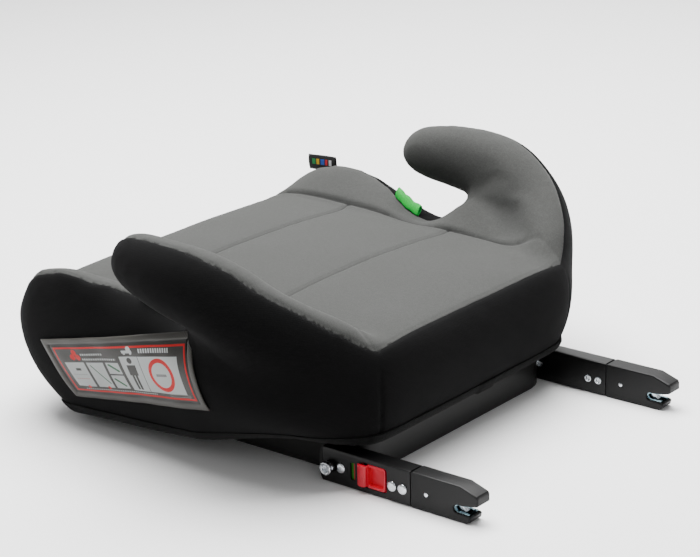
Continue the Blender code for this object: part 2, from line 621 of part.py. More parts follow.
class Arm:
    """One anchor arm: places arm points in the world and adds its pieces."""

    def __init__(self, name, side, looks):
        self.name = name
        self.side = side
        self.looks = looks
        self.fold = self.empty("arm_fold", (0, BOLT_Y, BOLT_Z), None)
        self.hook_axis = self.empty("hook", (0, *HOOK_PIVOT), self.fold)
        self.release = self.empty("release", (0, BUTTON[0], BOLT_Z), self.fold)

    def place(self, a, y, z):
        return (self.side * (ARM_SPACING / 2 + a), ARM_JOINT_Y + y, z)

    def empty(self, name, point, parent):
        made = bpy.data.objects.new(f"{name}_axis_{self.name}", None)
        bpy.context.collection.objects.link(made)
        made.location = Vector(self.place(*point)) * MM
        made["world"] = tuple(made.location)
        if parent is not None:
            made.parent = parent
            made.location -= Vector(parent["world"])
        return made

    def add(self, name, mesh, look, parent):
        made = make_object(f"{name}_{self.name}", mesh, self.looks[look], origin=Vector(parent["world"]) / MM)
        made.parent = parent
        made.location = (0, 0, 0)
        return made

    def cut(self, name, mesh):
        return cutter(f"cut_{name}_{self.name}", mesh)

    def plate(self, name, outline, depth):
        return prism(name, outline, depth, lambda y, z, a: self.place(a, y, z))

    def turned(self, name, profile, point, sides=14):
        y0, z0 = point
        return lathe(name, profile, lambda a, u, v: self.place(a, y0 + u, z0 + v), sides)

    def hole(self, name, radius, point):
        """A cutter for a round hole right through the arm."""
        return self.cut(name, self.turned(name, [(-12, radius), (12, radius)], point, 12))

    def along_tube(self, name, inset, low, high):
        """The tube's rounded section, shrunk by inset, between two places along the arm."""
        corner = max(TUBE_CORNER - inset, 0.6)
        low_corner, high_corner = (-ARM_HALF + inset, inset), (ARM_HALF - inset, ARM_HEIGHT - inset)
        outline = rounded_box_outline(low_corner, high_corner, corner, 2)
        return prism(name, outline, (low, high), lambda a, z, y: self.place(a, y, z))

    def tube(self):
        mesh = self.along_tube("arm_tube", 0, TUBE_FRONT, -GAP)
        tube = self.add("arm_tube", mesh, "painted_steel", self.fold)
        y0, y1, z0, z1 = WINDOW
        window = self.plate("window", rounded_box_outline((y0, z0), (y1, z1), 3), (5, 12))
        y0, y1, z0, z1 = SLOT
        slot = self.plate("slot", rounded_box_outline((y0, z0), (y1, z1), 0.8, 1), (5, 12))
        cuts = [
            self.cut("tube_inside", self.along_tube("tube_inside", TUBE_WALL, TUBE_FRONT - 5, 5)),
            self.cut("window", window),
            self.cut("slot", slot),
            self.cut("bolt_hole", self.turned("bolt_hole", [(-12, 4.4), (12, 4.4)], (BOLT_Y, BOLT_Z))),
        ]
        for name, point in (("front", FRONT_RIVET), *REAR_RIVETS.items()):
            profile = [(-12, 3.5), (0, 3.5), (0, 2.5), (12, 2.5)]
            cuts.append(self.cut(f"rivet_hole_{name}", self.turned("rivet_hole", profile, point, 10)))
        combine(tube, "DIFFERENCE", *cuts)

        base = TUBE_FRONT - GAP
        outline = [(base, 0.6), (-89.5, 3.5), (-91, 9), (-91, 21.3), (-89.5, 26.8), (base, 29.7)]
        mesh = self.plate("end_plug", outline, (-ARM_HALF, ARM_HALF))
        plug = self.add("end_plug", mesh, "arm_plastic", self.fold)
        insert = self.along_tube("plug_insert", TUBE_WALL + GAP, TUBE_FRONT - 1, -83.8)
        combine(plug, "UNION", self.cut("plug_insert", insert))

    def rivets(self):
        for name, point in (("front", FRONT_RIVET), *REAR_RIVETS.items()):
            profile = [(-8.4, 3.1), (-6.9, 3.1), (-6.9, 2.1), (8.6, 2.1), (8.6, 4.3), (10, 2.6)]
            self.add(f"rivet_{name}", self.turned("rivet", profile, point, 10), "zinc", self.fold)
        pin = self.turned("nose_pin", [(-8.4, 1.9), (8.4, 1.9)], NOSE_PIN, 10)
        self.add("nose_pin", pin, "zinc", self.fold)

    def nose(self):
        mesh = self.plate("nose_cover", NOSE, (-ARM_HALF, ARM_HALF))
        nose = self.add("nose_cover", mesh, "arm_plastic", self.fold)
        edge = nose.modifiers.new("edges", "BEVEL")
        edge.width = 1.4 * MM
        edge.segments = 2
        edge.limit_method = "ANGLE"
        edge.angle_limit = math.radians(50)
        half = ARM_HALF - NOSE_WALL
        hollow = self.cut("nose_hollow", self.plate("nose_hollow", NOSE_HOLLOW, (-half, half)))
        pin_hole = self.hole("nose_pin_hole", 2.25, NOSE_PIN)
        combine(nose, "DIFFERENCE", hollow, pin_hole)

        hook_hole = self.hole("hook_pin_hole", 2.8, HOOK_PIVOT)
        rivet_holes = [self.hole(f"plate_hole_{n}", 2.5, point) for n, point in REAR_RIVETS.items()]
        for name, depth in (("outer", (PLATE_INNER, PLATE_OUTER)), ("inner", (-PLATE_OUTER, -PLATE_INNER))):
            plate = self.add(f"side_plate_{name}", self.plate("side_plate", PLATE, depth), "zinc", self.fold)
            combine(plate, "DIFFERENCE", hook_hole, pin_hole, *rivet_holes)
        pin = self.turned("hook_pin", [(-PLATE_OUTER, PIN_RADIUS), (PLATE_OUTER, PIN_RADIUS)], HOOK_PIVOT, 12)
        self.add("hook_pin", pin, "zinc", self.fold)

        turn = Matrix.Rotation(math.radians(HOOK_SWING), 2)
        open_hook = []
        for point in HOOK:
            turned = turn @ Vector(point)
            open_hook.append((HOOK_PIVOT[0] + turned.x, HOOK_PIVOT[1] + turned.y))
        mesh = self.plate("latch_hook", open_hook, (-HOOK_HALF, HOOK_HALF))
        hook = self.add("latch_hook", mesh, "zinc", self.hook_axis)
        combine(hook, "DIFFERENCE", hook_hole)

    def lock_parts(self):
        """The bar that holds the hook, and the flag in the slot; both slide with the button."""
        (y0, y1), (z0, z1) = LOCK_Y, LOCK_Z
        bar = self.plate("lock_plate", [(y0, z0), (y1, z0), (y1, z1), (y0, z1)], (-LOCK_HALF, LOCK_HALF))
        bar = self.add("lock_plate", bar, "zinc", self.release)
        y0, y1 = LUG_Y
        outline = [(y0, z0 + 0.5), (y1, z0 + 0.5), (y1, z1 - 0.5), (y0, z1 - 0.5)]
        lug = self.plate("lock_lug", outline, (0, BUTTON_BACK - GAP))
        combine(bar, "UNION", self.cut("lock_lug", lug))
        y0, y1 = FLAG_Y
        face = self.plate("indicator_flag", [(y0, 7), (y1, 7), (y1, 24), (y0, 24)], (5.1, 6.2))
        flag = self.add("indicator_flag", face, "flag_red", self.release)
        y0, y1 = FLAG_WEB_Y
        web = self.plate("flag_web", [(y0, z0), (y1, z0), (y1, z1), (y0, z1)], (LOCK_HALF + GAP, 5.6))
        combine(flag, "UNION", self.cut("flag_web", web))

    def button(self):
        y0, y1, z0, z1 = BUTTON
        body = self.plate("release_button", rounded_box_outline((y0, z0), (y1, z1), 2.4), (BUTTON_BACK, 8.2))
        button = self.add("release_button", body, "red_plastic", self.release)
        flange = self.plate("button_flange", [(y0, 3.2), (y1, 3.2), (y1, 27.2), (y0, 27.2)], (4.6, 6.3))
        tongue = self.plate("button_tongue", [(y0, 5), (y0 + 5, 5), (y0 + 5, 10.6), (y0, 10.6)], (-4.8, 3))
        lip_outline = [(-42.1, 6), (y0 + 0.2, 6), (y0 + 0.2, 8.65), (-51.2, 8.65), (-51.2, 9.8)]
        lip_outline += [(-49.6, 11.2), (-47.2, 12.1), (-45, 12.2), (-43.2, 11.4), (-42.3, 9.6)]
        lip = prism("button_lip", lip_outline, (z0 + 1.1, z1 - 1.1), lambda y, a, z: self.place(a, y, z))
        scoop = self.plate("button_scoop", rounded_box_outline((-41.4, 7.6), (y1 - 1.6, 23.4), 2), (4.2, 12))
        added = [("button_flange", flange), ("button_tongue", tongue), ("button_lip", lip)]
        combine(button, "UNION", *[self.cut(name, mesh) for name, mesh in added])
        combine(button, "DIFFERENCE", self.cut("button_scoop", scoop))

    def spring(self):
        turns, steps = 5, 5
        low, high = SPRING_Y
        rings = []
        for i in range(turns * steps + 1):
            angle = 2 * math.pi * i / steps
            y = low + SPRING_WIRE + (high - low - 2 * SPRING_WIRE) * i / (turns * steps)
            ring = []
            for k in range(4):
                out = SPRING_RADIUS + SPRING_WIRE * math.cos(math.pi * k / 2)
                shift = SPRING_WIRE * math.sin(math.pi * k / 2)
                a, z = SPRING_A + out * math.cos(angle), SPRING_Z + out * math.sin(angle)
                ring.append(self.place(a, y + shift, z))
            rings.append(ring)
        self.add("return_spring", loft("return_spring", rings), "steel", self.fold)

    def pivot(self):
        """The bolt and its collar stay with the seat."""
        point = (BOLT_Y, BOLT_Z)
        collar = self.turned("pivot_spacer", [(8.6, 5.3), (11.6, 5.3)], point)
        bore = self.turned("spacer_bore", [(0, 4.3), (20, 4.3)], point)
        made = make_object(f"pivot_spacer_{self.name}", collar, self.looks["arm_plastic"])
        combine(made, "DIFFERENCE", self.cut("spacer_bore", bore))
        profile = [(-BOLT_REACH, 3), (1 - BOLT_REACH, BOLT_RADIUS), (11.9, BOLT_RADIUS)]
        profile += [(11.9, 5.5), (16, 5.5), (16.5, 5)]
        mesh = self.turned("pivot_bolt", profile, point)
        bolt = make_object(f"pivot_bolt_{self.name}", mesh, self.looks["bolt_steel"])
        socket = self.turned("socket", [(13.2, 3.4), (18, 3.4)], point, 6)
        combine(bolt, "DIFFERENCE", self.cut("socket", socket))


def main():
    clear_scene()
    looks = {
        "grey_fabric": material("grey_fabric", (0.2, 0.2, 0.19), 0.95),
        "black_fabric": material("black_fabric", (0.012, 0.012, 0.013), 0.9),
        "elastic": material("elastic", (0.01, 0.01, 0.01), 0.8),
        "label": material("label", (0.03, 0.03, 0.03), 0.7),
        "green_fabric": material("green_fabric", (0.01, 0.55, 0.07), 0.7),
        "foam": material("foam", (0.75, 0.73, 0.65), 0.95),
        "base_plastic": material("base_plastic", (0.02, 0.02, 0.02), 0.35),
        "arm_plastic": material("arm_plastic", (0.012, 0.012, 0.012), 0.4),
        "painted_steel": material("painted_steel", (0.01, 0.01, 0.01), 0.35),
        "steel": material("steel", (0.5, 0.5, 0.5), 0.35, 1),
        "bolt_steel": material("bolt_steel", (0.6, 0.6, 0.6), 0.3, 1),
        "zinc": material("zinc", (0.6, 0.63, 0.68), 0.35, 1),
        "flag_red": material("flag_red", (0.7, 0.02, 0.03), 0.4),
        "red_plastic": material("red_plastic", (0.75, 0.015, 0.03), 0.35),
    }
    soft_parts(looks)
    base_shell(looks)
    base_frame(looks)
    small_soft_parts(looks)
    for name, side in (("left", 1), ("right", -1)):
        arm = Arm(name, side, looks)
        arm.tube()
        arm.rivets()
        arm.nose()
        arm.lock_parts()
        arm.button()
        arm.spring()
        arm.pivot()


main()
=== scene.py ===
"""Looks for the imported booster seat: sewn fabric cover, moulded base, steel arms, floor, light and camera.

Lengths are in millimetres in the row frame unless a name says otherwise; MM turns them into metres.
"""

import math

import bmesh
import bpy
import numpy as np
from mathutils import Matrix, Vector, noise
from mathutils.bvhtree import BVHTree


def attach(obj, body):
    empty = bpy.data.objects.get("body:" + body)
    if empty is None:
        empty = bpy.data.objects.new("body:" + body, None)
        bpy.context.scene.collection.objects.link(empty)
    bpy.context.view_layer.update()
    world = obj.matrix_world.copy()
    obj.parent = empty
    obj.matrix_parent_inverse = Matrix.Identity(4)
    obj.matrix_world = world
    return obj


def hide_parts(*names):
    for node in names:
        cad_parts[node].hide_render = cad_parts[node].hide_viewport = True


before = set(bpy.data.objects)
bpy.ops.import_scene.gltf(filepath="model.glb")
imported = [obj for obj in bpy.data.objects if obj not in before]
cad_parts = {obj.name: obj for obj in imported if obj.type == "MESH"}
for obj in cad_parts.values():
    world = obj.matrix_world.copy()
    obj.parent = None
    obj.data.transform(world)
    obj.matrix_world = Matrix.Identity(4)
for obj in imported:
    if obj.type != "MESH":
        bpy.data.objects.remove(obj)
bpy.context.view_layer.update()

MM = 0.001
SIDES = (("left", 1), ("right", -1))

# The same driving sizes as the CAD, but for the label's lean.
# Soft body: (widest x, y, hem x, y, z), left half, front to rear.
PLAN = [
    (0, -239, 0, -172, 5),
    (75, -239, 72, -172, 5),
    (130, -235, 122, -173, 5),
    (169, -226, 155, -174, 6),
    (192, -204, 174, -166, 8),
    (200, -159, 178, -142, 11),
    (202, -107, 178, -100, 14),
    (203, -80, 179, -72, 16),
    (204, -55, 179, -47, 18),
    (206, -30, 179, -25, 20),
    (208, -5, 179, -5, 23),
    (210, 35, 169, 32, 30),
    (203, 71, 158, 64, 34),
    (188, 98, 149, 93, 34),
    (165, 118, 142, 109, 34),
    (146, 131, 134, 120, 34),
    (124, 140, 121, 126, 34),
    (75, 143, 75, 127, 34),
    (0, 143, 0, 127, 34),
]
WIDEST_Z = 90
SIDE_CURVE = 2.3
REAR_RIM, FRONT_RIM = 12, 40
TOP_CENTRE_Y = -30
PAN_Z, PAN_HALF, PAN_CROWN = 118, 132, 7
PAN_MID_Y, PAN_HALF_LENGTH = -50, 185
PAN_FRONT_Y, PAN_FRONT_DROP = -180, 12
# Ridge of the side bolster: (y, x, z). It bends inwards and dips where the car's belt crosses it.
RIDGE = [
    (-239, 186, 103), (-218, 186, 117), (-190, 187, 134), (-155, 187, 142), (-122, 184, 139),
    (-107, 178, 136), (-90, 171, 131), (-75, 165, 126), (-60, 161, 120), (-45, 159, 116),
    (-32, 160, 115), (-20, 165, 121), (-8, 171, 132), (4, 177, 141), (20, 183, 145), (40, 187, 145),
    (75, 187, 135), (105, 186, 122), (140, 186, 118),
]
RIDGE_EDGE = 2
HEM = 9

# Armrest: (y, centre x, centre z, vertical radius, sideways radius), from its root to its tip.
ARMREST = [
    (104, 98, 86, 24, 17),
    (109, 128, 97, 33, 22),
    (98, 154, 109, 38, 24),
    (74, 181, 126.5, 41.5, 26),
    (45, 194.5, 145.5, 40.5, 26.5),
    (15, 201, 159.5, 35, 26),
    (-22, 201.5, 165.5, 30.5, 25),
    (-58, 194.5, 168.5, 25, 23),
    (-74, 190.5, 168.5, 18.5, 17.5),
    (-82, 189, 168, 10, 10),
]
ARMREST_TIP = (-85, 188.5, 168)

# Seam between grey and black cloth: (y, half width on the armrests, half width on the body).
SEAM = [
    (130, 128, 127), (119, 150, 149), (106, 168, 167), (86, 187, 185), (68, 198, 195),
    (48, 203.5, 199), (28, 208, 194), (12, 209, 186), (-4, 208.5, 175), (-20, 207.5, 166),
    (-40, 205, 161), (-60, 201, 163), (-75, 196, 168), (-88, 188, 174), (-105, 181, 180),
    (-122, 187, 186), (-155, 189, 188), (-190, 187, 186), (-215, 170, 169), (-236, 125, 124),
]
SEAM_STEP_Z = 133
SEAM_LOW_Z = 101

# Instruction label: (y, z) of its rear and front corners, upper and lower, and its size as sewn.
LABEL_REAR = ((0, 124), (22, 64))
LABEL_FRONT = ((-173, 80), (-143, 33))
LABEL_LEAN = 0.012
LABEL_SIZE = (172, 64)

# Belt loops, along the seat.
BELT_LOOP_FRONT, BELT_LOOP_LENGTH = -79, 31

# Sewn tag: where its seam starts and how long it is.
TAG_START, TAG_LENGTH = -170, 29

# Anchor arms: middle plane and joint between tube and nose.
ARM_X = 140
ARM_Y = 175
BOLT = (-79, 15)
RIVETS = {"front": (-69, 15.5), "middle": (-18, 13.3), "rear": (-7.7, 13.3)}

# Sewn lines of the seating surface.
PAN_SEAM = [(132, 130), (60, 135), (0, 139), (-70, 143), (-140, 146), (-200, 146), (-240, 140)]
CROSS_LINES = (-117, 3.5)


# ---------------------------------------------------------------- mesh helpers


def catmull(points, count, closed=False):
    """count points of a smooth curve through the rows of points, evenly spread over the rows."""
    rows = np.array(points, float)
    spans = len(rows) if closed else len(rows) - 1
    share = np.linspace(0, spans, count, endpoint=not closed)
    low = np.minimum(share.astype(int), spans - 1)
    t = (share - low)[:, None]

    def row(shift):
        index = low + shift
        return rows[index % len(rows)] if closed else rows[np.clip(index, 0, len(rows) - 1)]

    a, b, c, d = row(-1), row(0), row(1), row(2)
    return 0.5 * (2 * b + (c - a) * t + (2 * a - 5 * b + 4 * c - d) * t**2 + (3 * b - a - 3 * c + d) * t**3)


def smooth_table(table, x, column=1):
    """Smooth values of a column at every x; the first column rises or falls steadily."""
    rows = np.array(sorted(table), float)
    fine = catmull(rows, 16 * (len(rows) - 1) + 1)
    return np.interp(x, fine[:, 0], fine[:, column])


def ramp(x, low, high):
    """0 below low, 1 above high and smooth between."""
    t = np.clip((x - low) / (high - low), 0, 1)
    return t * t * (3 - 2 * t)


def new_object(name, mesh, look=None):
    made = bpy.data.objects.new(name, mesh)
    bpy.context.scene.collection.objects.link(made)
    if look is not None:
        mesh.materials.append(look)
    return made


def mesh_from(name, points, faces):
    """A mesh of points in millimetres."""
    mesh = bpy.data.meshes.new(name)
    mesh.from_pydata([tuple(p) for p in np.array(points, float) * MM], [], faces)
    mesh.update()
    return mesh


def grid_faces(rows, columns, wrap_rows=False, wrap_columns=False):
    faces = []
    for i in range(rows if wrap_rows else rows - 1):
        for j in range(columns if wrap_columns else columns - 1):
            k, m = (i + 1) % rows, (j + 1) % columns
            faces.append((i * columns + j, k * columns + j, k * columns + m, i * columns + m))
    return faces


def loft(name, rings, first_tip=None, last_tip=None):
    """A closed skin over rings of points, with a fan at each end."""
    rings = [np.array(ring, float) for ring in rings]
    count = len(rings[0])
    points = np.concatenate(rings)
    faces = grid_faces(len(rings), count, wrap_columns=True)
    ends = ((0, first_tip, rings[0]), ((len(rings) - 1) * count, last_tip, rings[-1]))
    for start, tip, ring in ends:
        middle = ring.mean(axis=0) if tip is None else np.array(tip, float)
        top = len(points)
        points = np.vstack([points, middle])
        faces += [(start + i, start + (i + 1) % count, top) for i in range(count)]
    made = mesh_from(name, points, faces)
    shape = bmesh.new()
    shape.from_mesh(made)
    bmesh.ops.recalc_face_normals(shape, faces=shape.faces)
    shape.to_mesh(made)
    shape.free()
    return made


def evaluated(obj):
    """obj's mesh with its modifiers applied, as a new mesh."""
    graph = bpy.context.evaluated_depsgraph_get()
    graph.update()
    return bpy.data.meshes.new_from_object(obj.evaluated_get(graph))


def bake_modifiers(obj):
    mesh = evaluated(obj)
    obj.modifiers.clear()
    old = obj.data
    obj.data = mesh
    bpy.data.meshes.remove(old)


def coordinates(mesh):
    """Vertex places in millimetres."""
    flat = np.empty(len(mesh.vertices) * 3, np.float32)
    mesh.vertices.foreach_get("co", flat)
    return flat.reshape(-1, 3).astype(float) / MM


def set_coordinates(mesh, places):
    mesh.vertices.foreach_set("co", (places * MM).astype(np.float32).ravel())
    mesh.update()


def normals(mesh):
    flat = np.empty(len(mesh.vertices) * 3, np.float32)
    mesh.vertices.foreach_get("normal", flat)
    return flat.reshape(-1, 3).astype(float)


def relax(mesh, weight, times):
    """Smooths a mesh, each vertex by its own weight."""
    places = coordinates(mesh)
    ends = np.empty(len(mesh.edges) * 2, np.int32)
    mesh.edges.foreach_get("vertices", ends)
    a, b = ends.reshape(-1, 2).T
    degree = np.bincount(a, minlength=len(places)) + np.bincount(b, minlength=len(places))
    degree = np.maximum(degree, 1)[:, None]
    for _ in range(times):
        total = np.zeros_like(places)
        np.add.at(total, a, places[b])
        np.add.at(total, b, places[a])
        places += weight[:, None] * (total / degree - places)
    set_coordinates(mesh, places)


def shade(obj, angle=None):
    """Smooth shading, with edges sharper than angle left sharp."""
    obj.data.shade_smooth()
    if angle is not None:
        obj.data.set_sharp_from_angle(angle=math.radians(angle))
    return obj


# ---------------------------------------------------------------- materials


class Look:
    """A material whose nodes are added one by one."""

    def __init__(self, name, **surface):
        self.material = bpy.data.materials.new(name)
        self.material.use_nodes = True
        self.tree = self.material.node_tree
        self.shader = self.tree.nodes["Principled BSDF"]
        for key, value in surface.items():
            self.shader.inputs[key.replace("_", " ")].default_value = value

    def node(self, kind, inputs=(), **settings):
        made = self.tree.nodes.new(kind)
        for key, value in settings.items():
            setattr(made, key, value)
        for key, value in dict(inputs).items():
            self.link(value, made.inputs[key])
        return made

    def link(self, value, socket):
        if isinstance(value, bpy.types.NodeSocket):
            self.tree.links.new(value, socket)
        else:
            socket.default_value = value

    def math(self, operation, *values):
        made = self.tree.nodes.new("ShaderNodeMath")
        made.operation = operation
        for value, socket in zip(values, made.inputs):
            self.link(value, socket)
        return made.outputs[0]

    def place(self):
        return self.node("ShaderNodeTexCoord").outputs["Object"]

    def noise(self, scale, detail=3.0, roughness=0.55, stretch=None):
        vector = self.place()
        if stretch is not None:
            scaled = self.node("ShaderNodeMapping", {"Vector": vector, "Scale": stretch})
            vector = scaled.outputs[0]
        settings = {"Vector": vector, "Scale": scale, "Detail": detail, "Roughness": roughness}
        return self.node("ShaderNodeTexNoise", settings).outputs["Fac"]

    def ramp(self, value, *stops):
        """A colour ramp of (position, colour) stops; a colour of one number is a grey."""
        made = self.node("ShaderNodeValToRGB", {"Fac": value})
        stops = sorted((place, (tone,) * 3 if isinstance(tone, float) else tone) for place, tone in stops)
        elements = made.color_ramp.elements
        while len(elements) < len(stops):
            elements.new(1)
        for element, (position, colour) in zip(elements, stops):
            element.position = position
            element.color = (*colour, 1) if len(colour) == 3 else colour
        return made.outputs[0]

    def range(self, value, low, high, out_low, out_high):
        inputs = {"Value": value, "From Min": low, "From Max": high, "To Min": out_low, "To Max": out_high}
        return self.node("ShaderNodeMapRange", inputs).outputs[0]

    def mix(self, factor, a, b, blend="MIX"):
        made = self.tree.nodes.new("ShaderNodeMix")
        made.data_type = "RGBA"
        made.blend_type = blend
        for value, socket in ((factor, made.inputs[0]), (a, made.inputs[6]), (b, made.inputs[7])):
            if isinstance(value, tuple) and len(value) == 3:
                value = (*value, 1)
            self.link(value, socket)
        return made.outputs[2]

    def colour(self, value):
        self.link(value, self.shader.inputs["Base Color"])

    def rough(self, value):
        self.link(value, self.shader.inputs["Roughness"])

    def bump(self, height, strength, depth):
        """Bump of a height from 0 to 1 that stands for depth, in metres."""
        inputs = {"Height": height, "Strength": strength, "Distance": depth}
        made = self.node("ShaderNodeBump", inputs)
        last = self.shader.inputs["Normal"]
        if last.links:
            self.tree.links.new(last.links[0].from_socket, made.inputs["Normal"])
        self.tree.links.new(made.outputs[0], last)

    def woven(self, pitch, function):
        """function(look, p, q) of the two surface directions, chosen by which way the surface faces."""
        p = self.node("ShaderNodeSeparateXYZ", {0: self.place()}).outputs
        facing_way = self.node("ShaderNodeNewGeometry").outputs["Normal"]
        n = self.node("ShaderNodeSeparateXYZ", {0: facing_way}).outputs
        angle = 2 * math.pi / (pitch * MM)
        x, y, z = (self.math("MULTIPLY", axis, angle) for axis in p)
        total = None
        for facing, first, second in ((n[2], x, y), (n[0], y, z), (n[1], x, z)):
            weight = self.math("MULTIPLY", facing, facing)
            part = self.math("MULTIPLY", weight, function(self, first, second))
            total = part if total is None else self.math("ADD", total, part)
        return total


def plain_weave(look, p, q):
    """Over and under threads, from 0 to 1."""
    product = look.math("MULTIPLY", look.math("SINE", p), look.math("SINE", q))
    return look.range(product, -1, 1, 0, 1)


def knit_columns(look, p, q):
    """Columns of small V stitches, from 0 to 1."""
    lean = look.math("ABSOLUTE", look.math("SINE", look.math("MULTIPLY", p, 0.5)))
    row = look.math("SINE", look.math("ADD", q, look.math("MULTIPLY", lean, 2.4)))
    return look.range(look.math("MULTIPLY", row, lean), -1, 1, 0, 1)


def crease_painted_shade(look, colour, depth):
    """Painted shade: darkens a colour towards near-black in the sewn lines and creases, by the crease
    attribute of the cloth.
    """
    crease = look.node("ShaderNodeAttribute", attribute_name="crease").outputs["Fac"]
    return look.mix(look.range(crease, 0.25, 1.0, 0.0, depth), colour, (0.004, 0.004, 0.004))


def grey_cloth():
    surface = {"Roughness": 0.95, "Specular_IOR_Level": 0.12, "Sheen_Weight": 0.12, "Sheen_Roughness": 0.5}
    look = Look("grey_melange", **surface)
    look.shader.inputs["Sheen Tint"].default_value = (0.75, 0.76, 0.74, 1)
    fibres = look.noise(1700, 4, 0.7)
    slubs = look.noise(600, 3, 0.6, stretch=(1, 0.45, 1))
    patches = look.noise(14, 2, 0.5)
    weave = look.woven(1.1, plain_weave)
    dark, middle, light = (0.032, 0.0327, 0.031), (0.047, 0.0478, 0.046), (0.066, 0.0673, 0.0643)
    heather = look.ramp(fibres, (0.3, dark), (0.5, middle), (0.72, light))
    slub_tone = look.ramp(slubs, (0.35, 0.93), (0.65, 1.05))
    patch_tone = look.ramp(patches, (0.3, (0.98, 0.98, 0.975)), (0.7, (1.02, 1.02, 1.025)))
    thread_tone = look.ramp(weave, (0.2, 0.93), (0.8, 1.05))
    colour = look.mix(1.0, heather, slub_tone, "MULTIPLY")
    colour = look.mix(1.0, colour, patch_tone, "MULTIPLY")
    # The grey is darkened with painted shade in the seams and creases.
    look.colour(crease_painted_shade(look, look.mix(1.0, colour, thread_tone, "MULTIPLY"), 0.7))
    look.bump(weave, 0.3, 0.0002)
    look.bump(fibres, 0.25, 0.0002)
    return look.material


def black_knit():
    look = Look("black_knit", Roughness=0.92, Specular_IOR_Level=0.1, Sheen_Weight=0.03, Sheen_Roughness=0.4)
    look.shader.inputs["Sheen Tint"].default_value = (0.5, 0.5, 0.52, 1)
    fibres = look.noise(1300, 4, 0.7)
    patches = look.noise(11, 2, 0.5)
    knit = look.woven(1.3, knit_columns)
    dark, middle = (0.0018, 0.0018, 0.0019), (0.0036, 0.0036, 0.0037)
    base = look.ramp(fibres, (0.3, dark), (0.6, middle), (0.8, 0.0065))
    tone = look.ramp(patches, (0.3, 0.9), (0.7, 1.08))
    thread = look.ramp(knit, (0.15, 0.75), (0.85, 1.15))
    colour = look.mix(1.0, look.mix(1.0, base, tone, "MULTIPLY"), thread, "MULTIPLY")
    # The knit is darkened with painted shade in the seams and creases.
    look.colour(crease_painted_shade(look, colour, 0.5))
    look.bump(knit, 0.4, 0.0003)
    look.bump(fibres, 0.25, 0.0002)
    return look.material


def slanted_ribs(look, p, q):
    return look.range(look.math("SINE", look.math("ADD", p, q)), -1, 1, 0, 1)


def elastic_binding():
    look = Look("elastic_binding", Roughness=0.85, Specular_IOR_Level=0.1, Sheen_Weight=0.02)
    ribs = look.woven(1.6, slanted_ribs)
    fibres = look.noise(1400, 3, 0.7)
    base = look.ramp(fibres, (0.3, 0.003), (0.75, 0.009))
    tone = look.ramp(ribs, (0.1, 0.6), (0.9, 1.2))
    look.colour(look.mix(1.0, base, tone, "MULTIPLY"))
    look.bump(ribs, 0.7, 0.0004)
    look.bump(fibres, 0.3, 0.0002)
    return look.material


def moulded(name, colour, roughness, grain=900, depth=0.00012, spread=0.08, gloss=0.5):
    """Moulded plastic or powder coat: fine grain, uneven gloss and slightly uneven colour."""
    look = Look(name, Specular_IOR_Level=gloss)
    fine = look.noise(grain, 3, 0.6)
    broad = look.noise(22, 3, 0.6)
    dark = tuple(0.8 * c for c in colour)
    light = tuple(1.25 * c for c in colour)
    look.colour(look.ramp(broad, (0.3, dark), (0.7, light)))
    uneven = look.math("ADD", look.math("MULTIPLY", broad, 0.6), look.math("MULTIPLY", fine, 0.4))
    look.rough(look.range(uneven, 0.3, 0.7, roughness - spread, roughness + spread))
    look.bump(fine, 0.35, depth)
    return look.material


def indicator_print():
    """Print on the flag: green at its front end and red behind."""
    look = Look("indicator_print", Specular_IOR_Level=0.4)
    place = look.node("ShaderNodeTexCoord").outputs["Generated"]
    along = look.node("ShaderNodeSeparateXYZ", {0: place}).outputs[1]
    fine = look.noise(1600, 3, 0.6)
    ragged = look.math("ADD", along, look.math("MULTIPLY", fine, 0.02))
    look.colour(look.ramp(ragged, (0.26, (0.02, 0.17, 0.01)), (0.28, (0.5, 0.005, 0.02))))
    look.rough(look.range(fine, 0.3, 0.7, 0.4, 0.5))
    look.bump(fine, 0.35, 0.00005)
    return look.material


def metal(name, colour, roughness, stretch=(1, 1, 1)):
    """Plated metal: drawn or turned marks and slightly uneven tint."""
    look = Look(name, Metallic=1.0)
    marks = look.noise(700, 4, 0.65, stretch)
    stain = look.noise(120, 3, 0.6)
    dark = tuple(0.72 * c for c in colour)
    look.colour(look.mix(look.range(stain, 0.35, 0.7, 0, 1), dark, colour))
    look.rough(look.range(marks, 0.3, 0.7, roughness - 0.08, roughness + 0.12))
    look.bump(marks, 0.25, 0.00006)
    return look.material


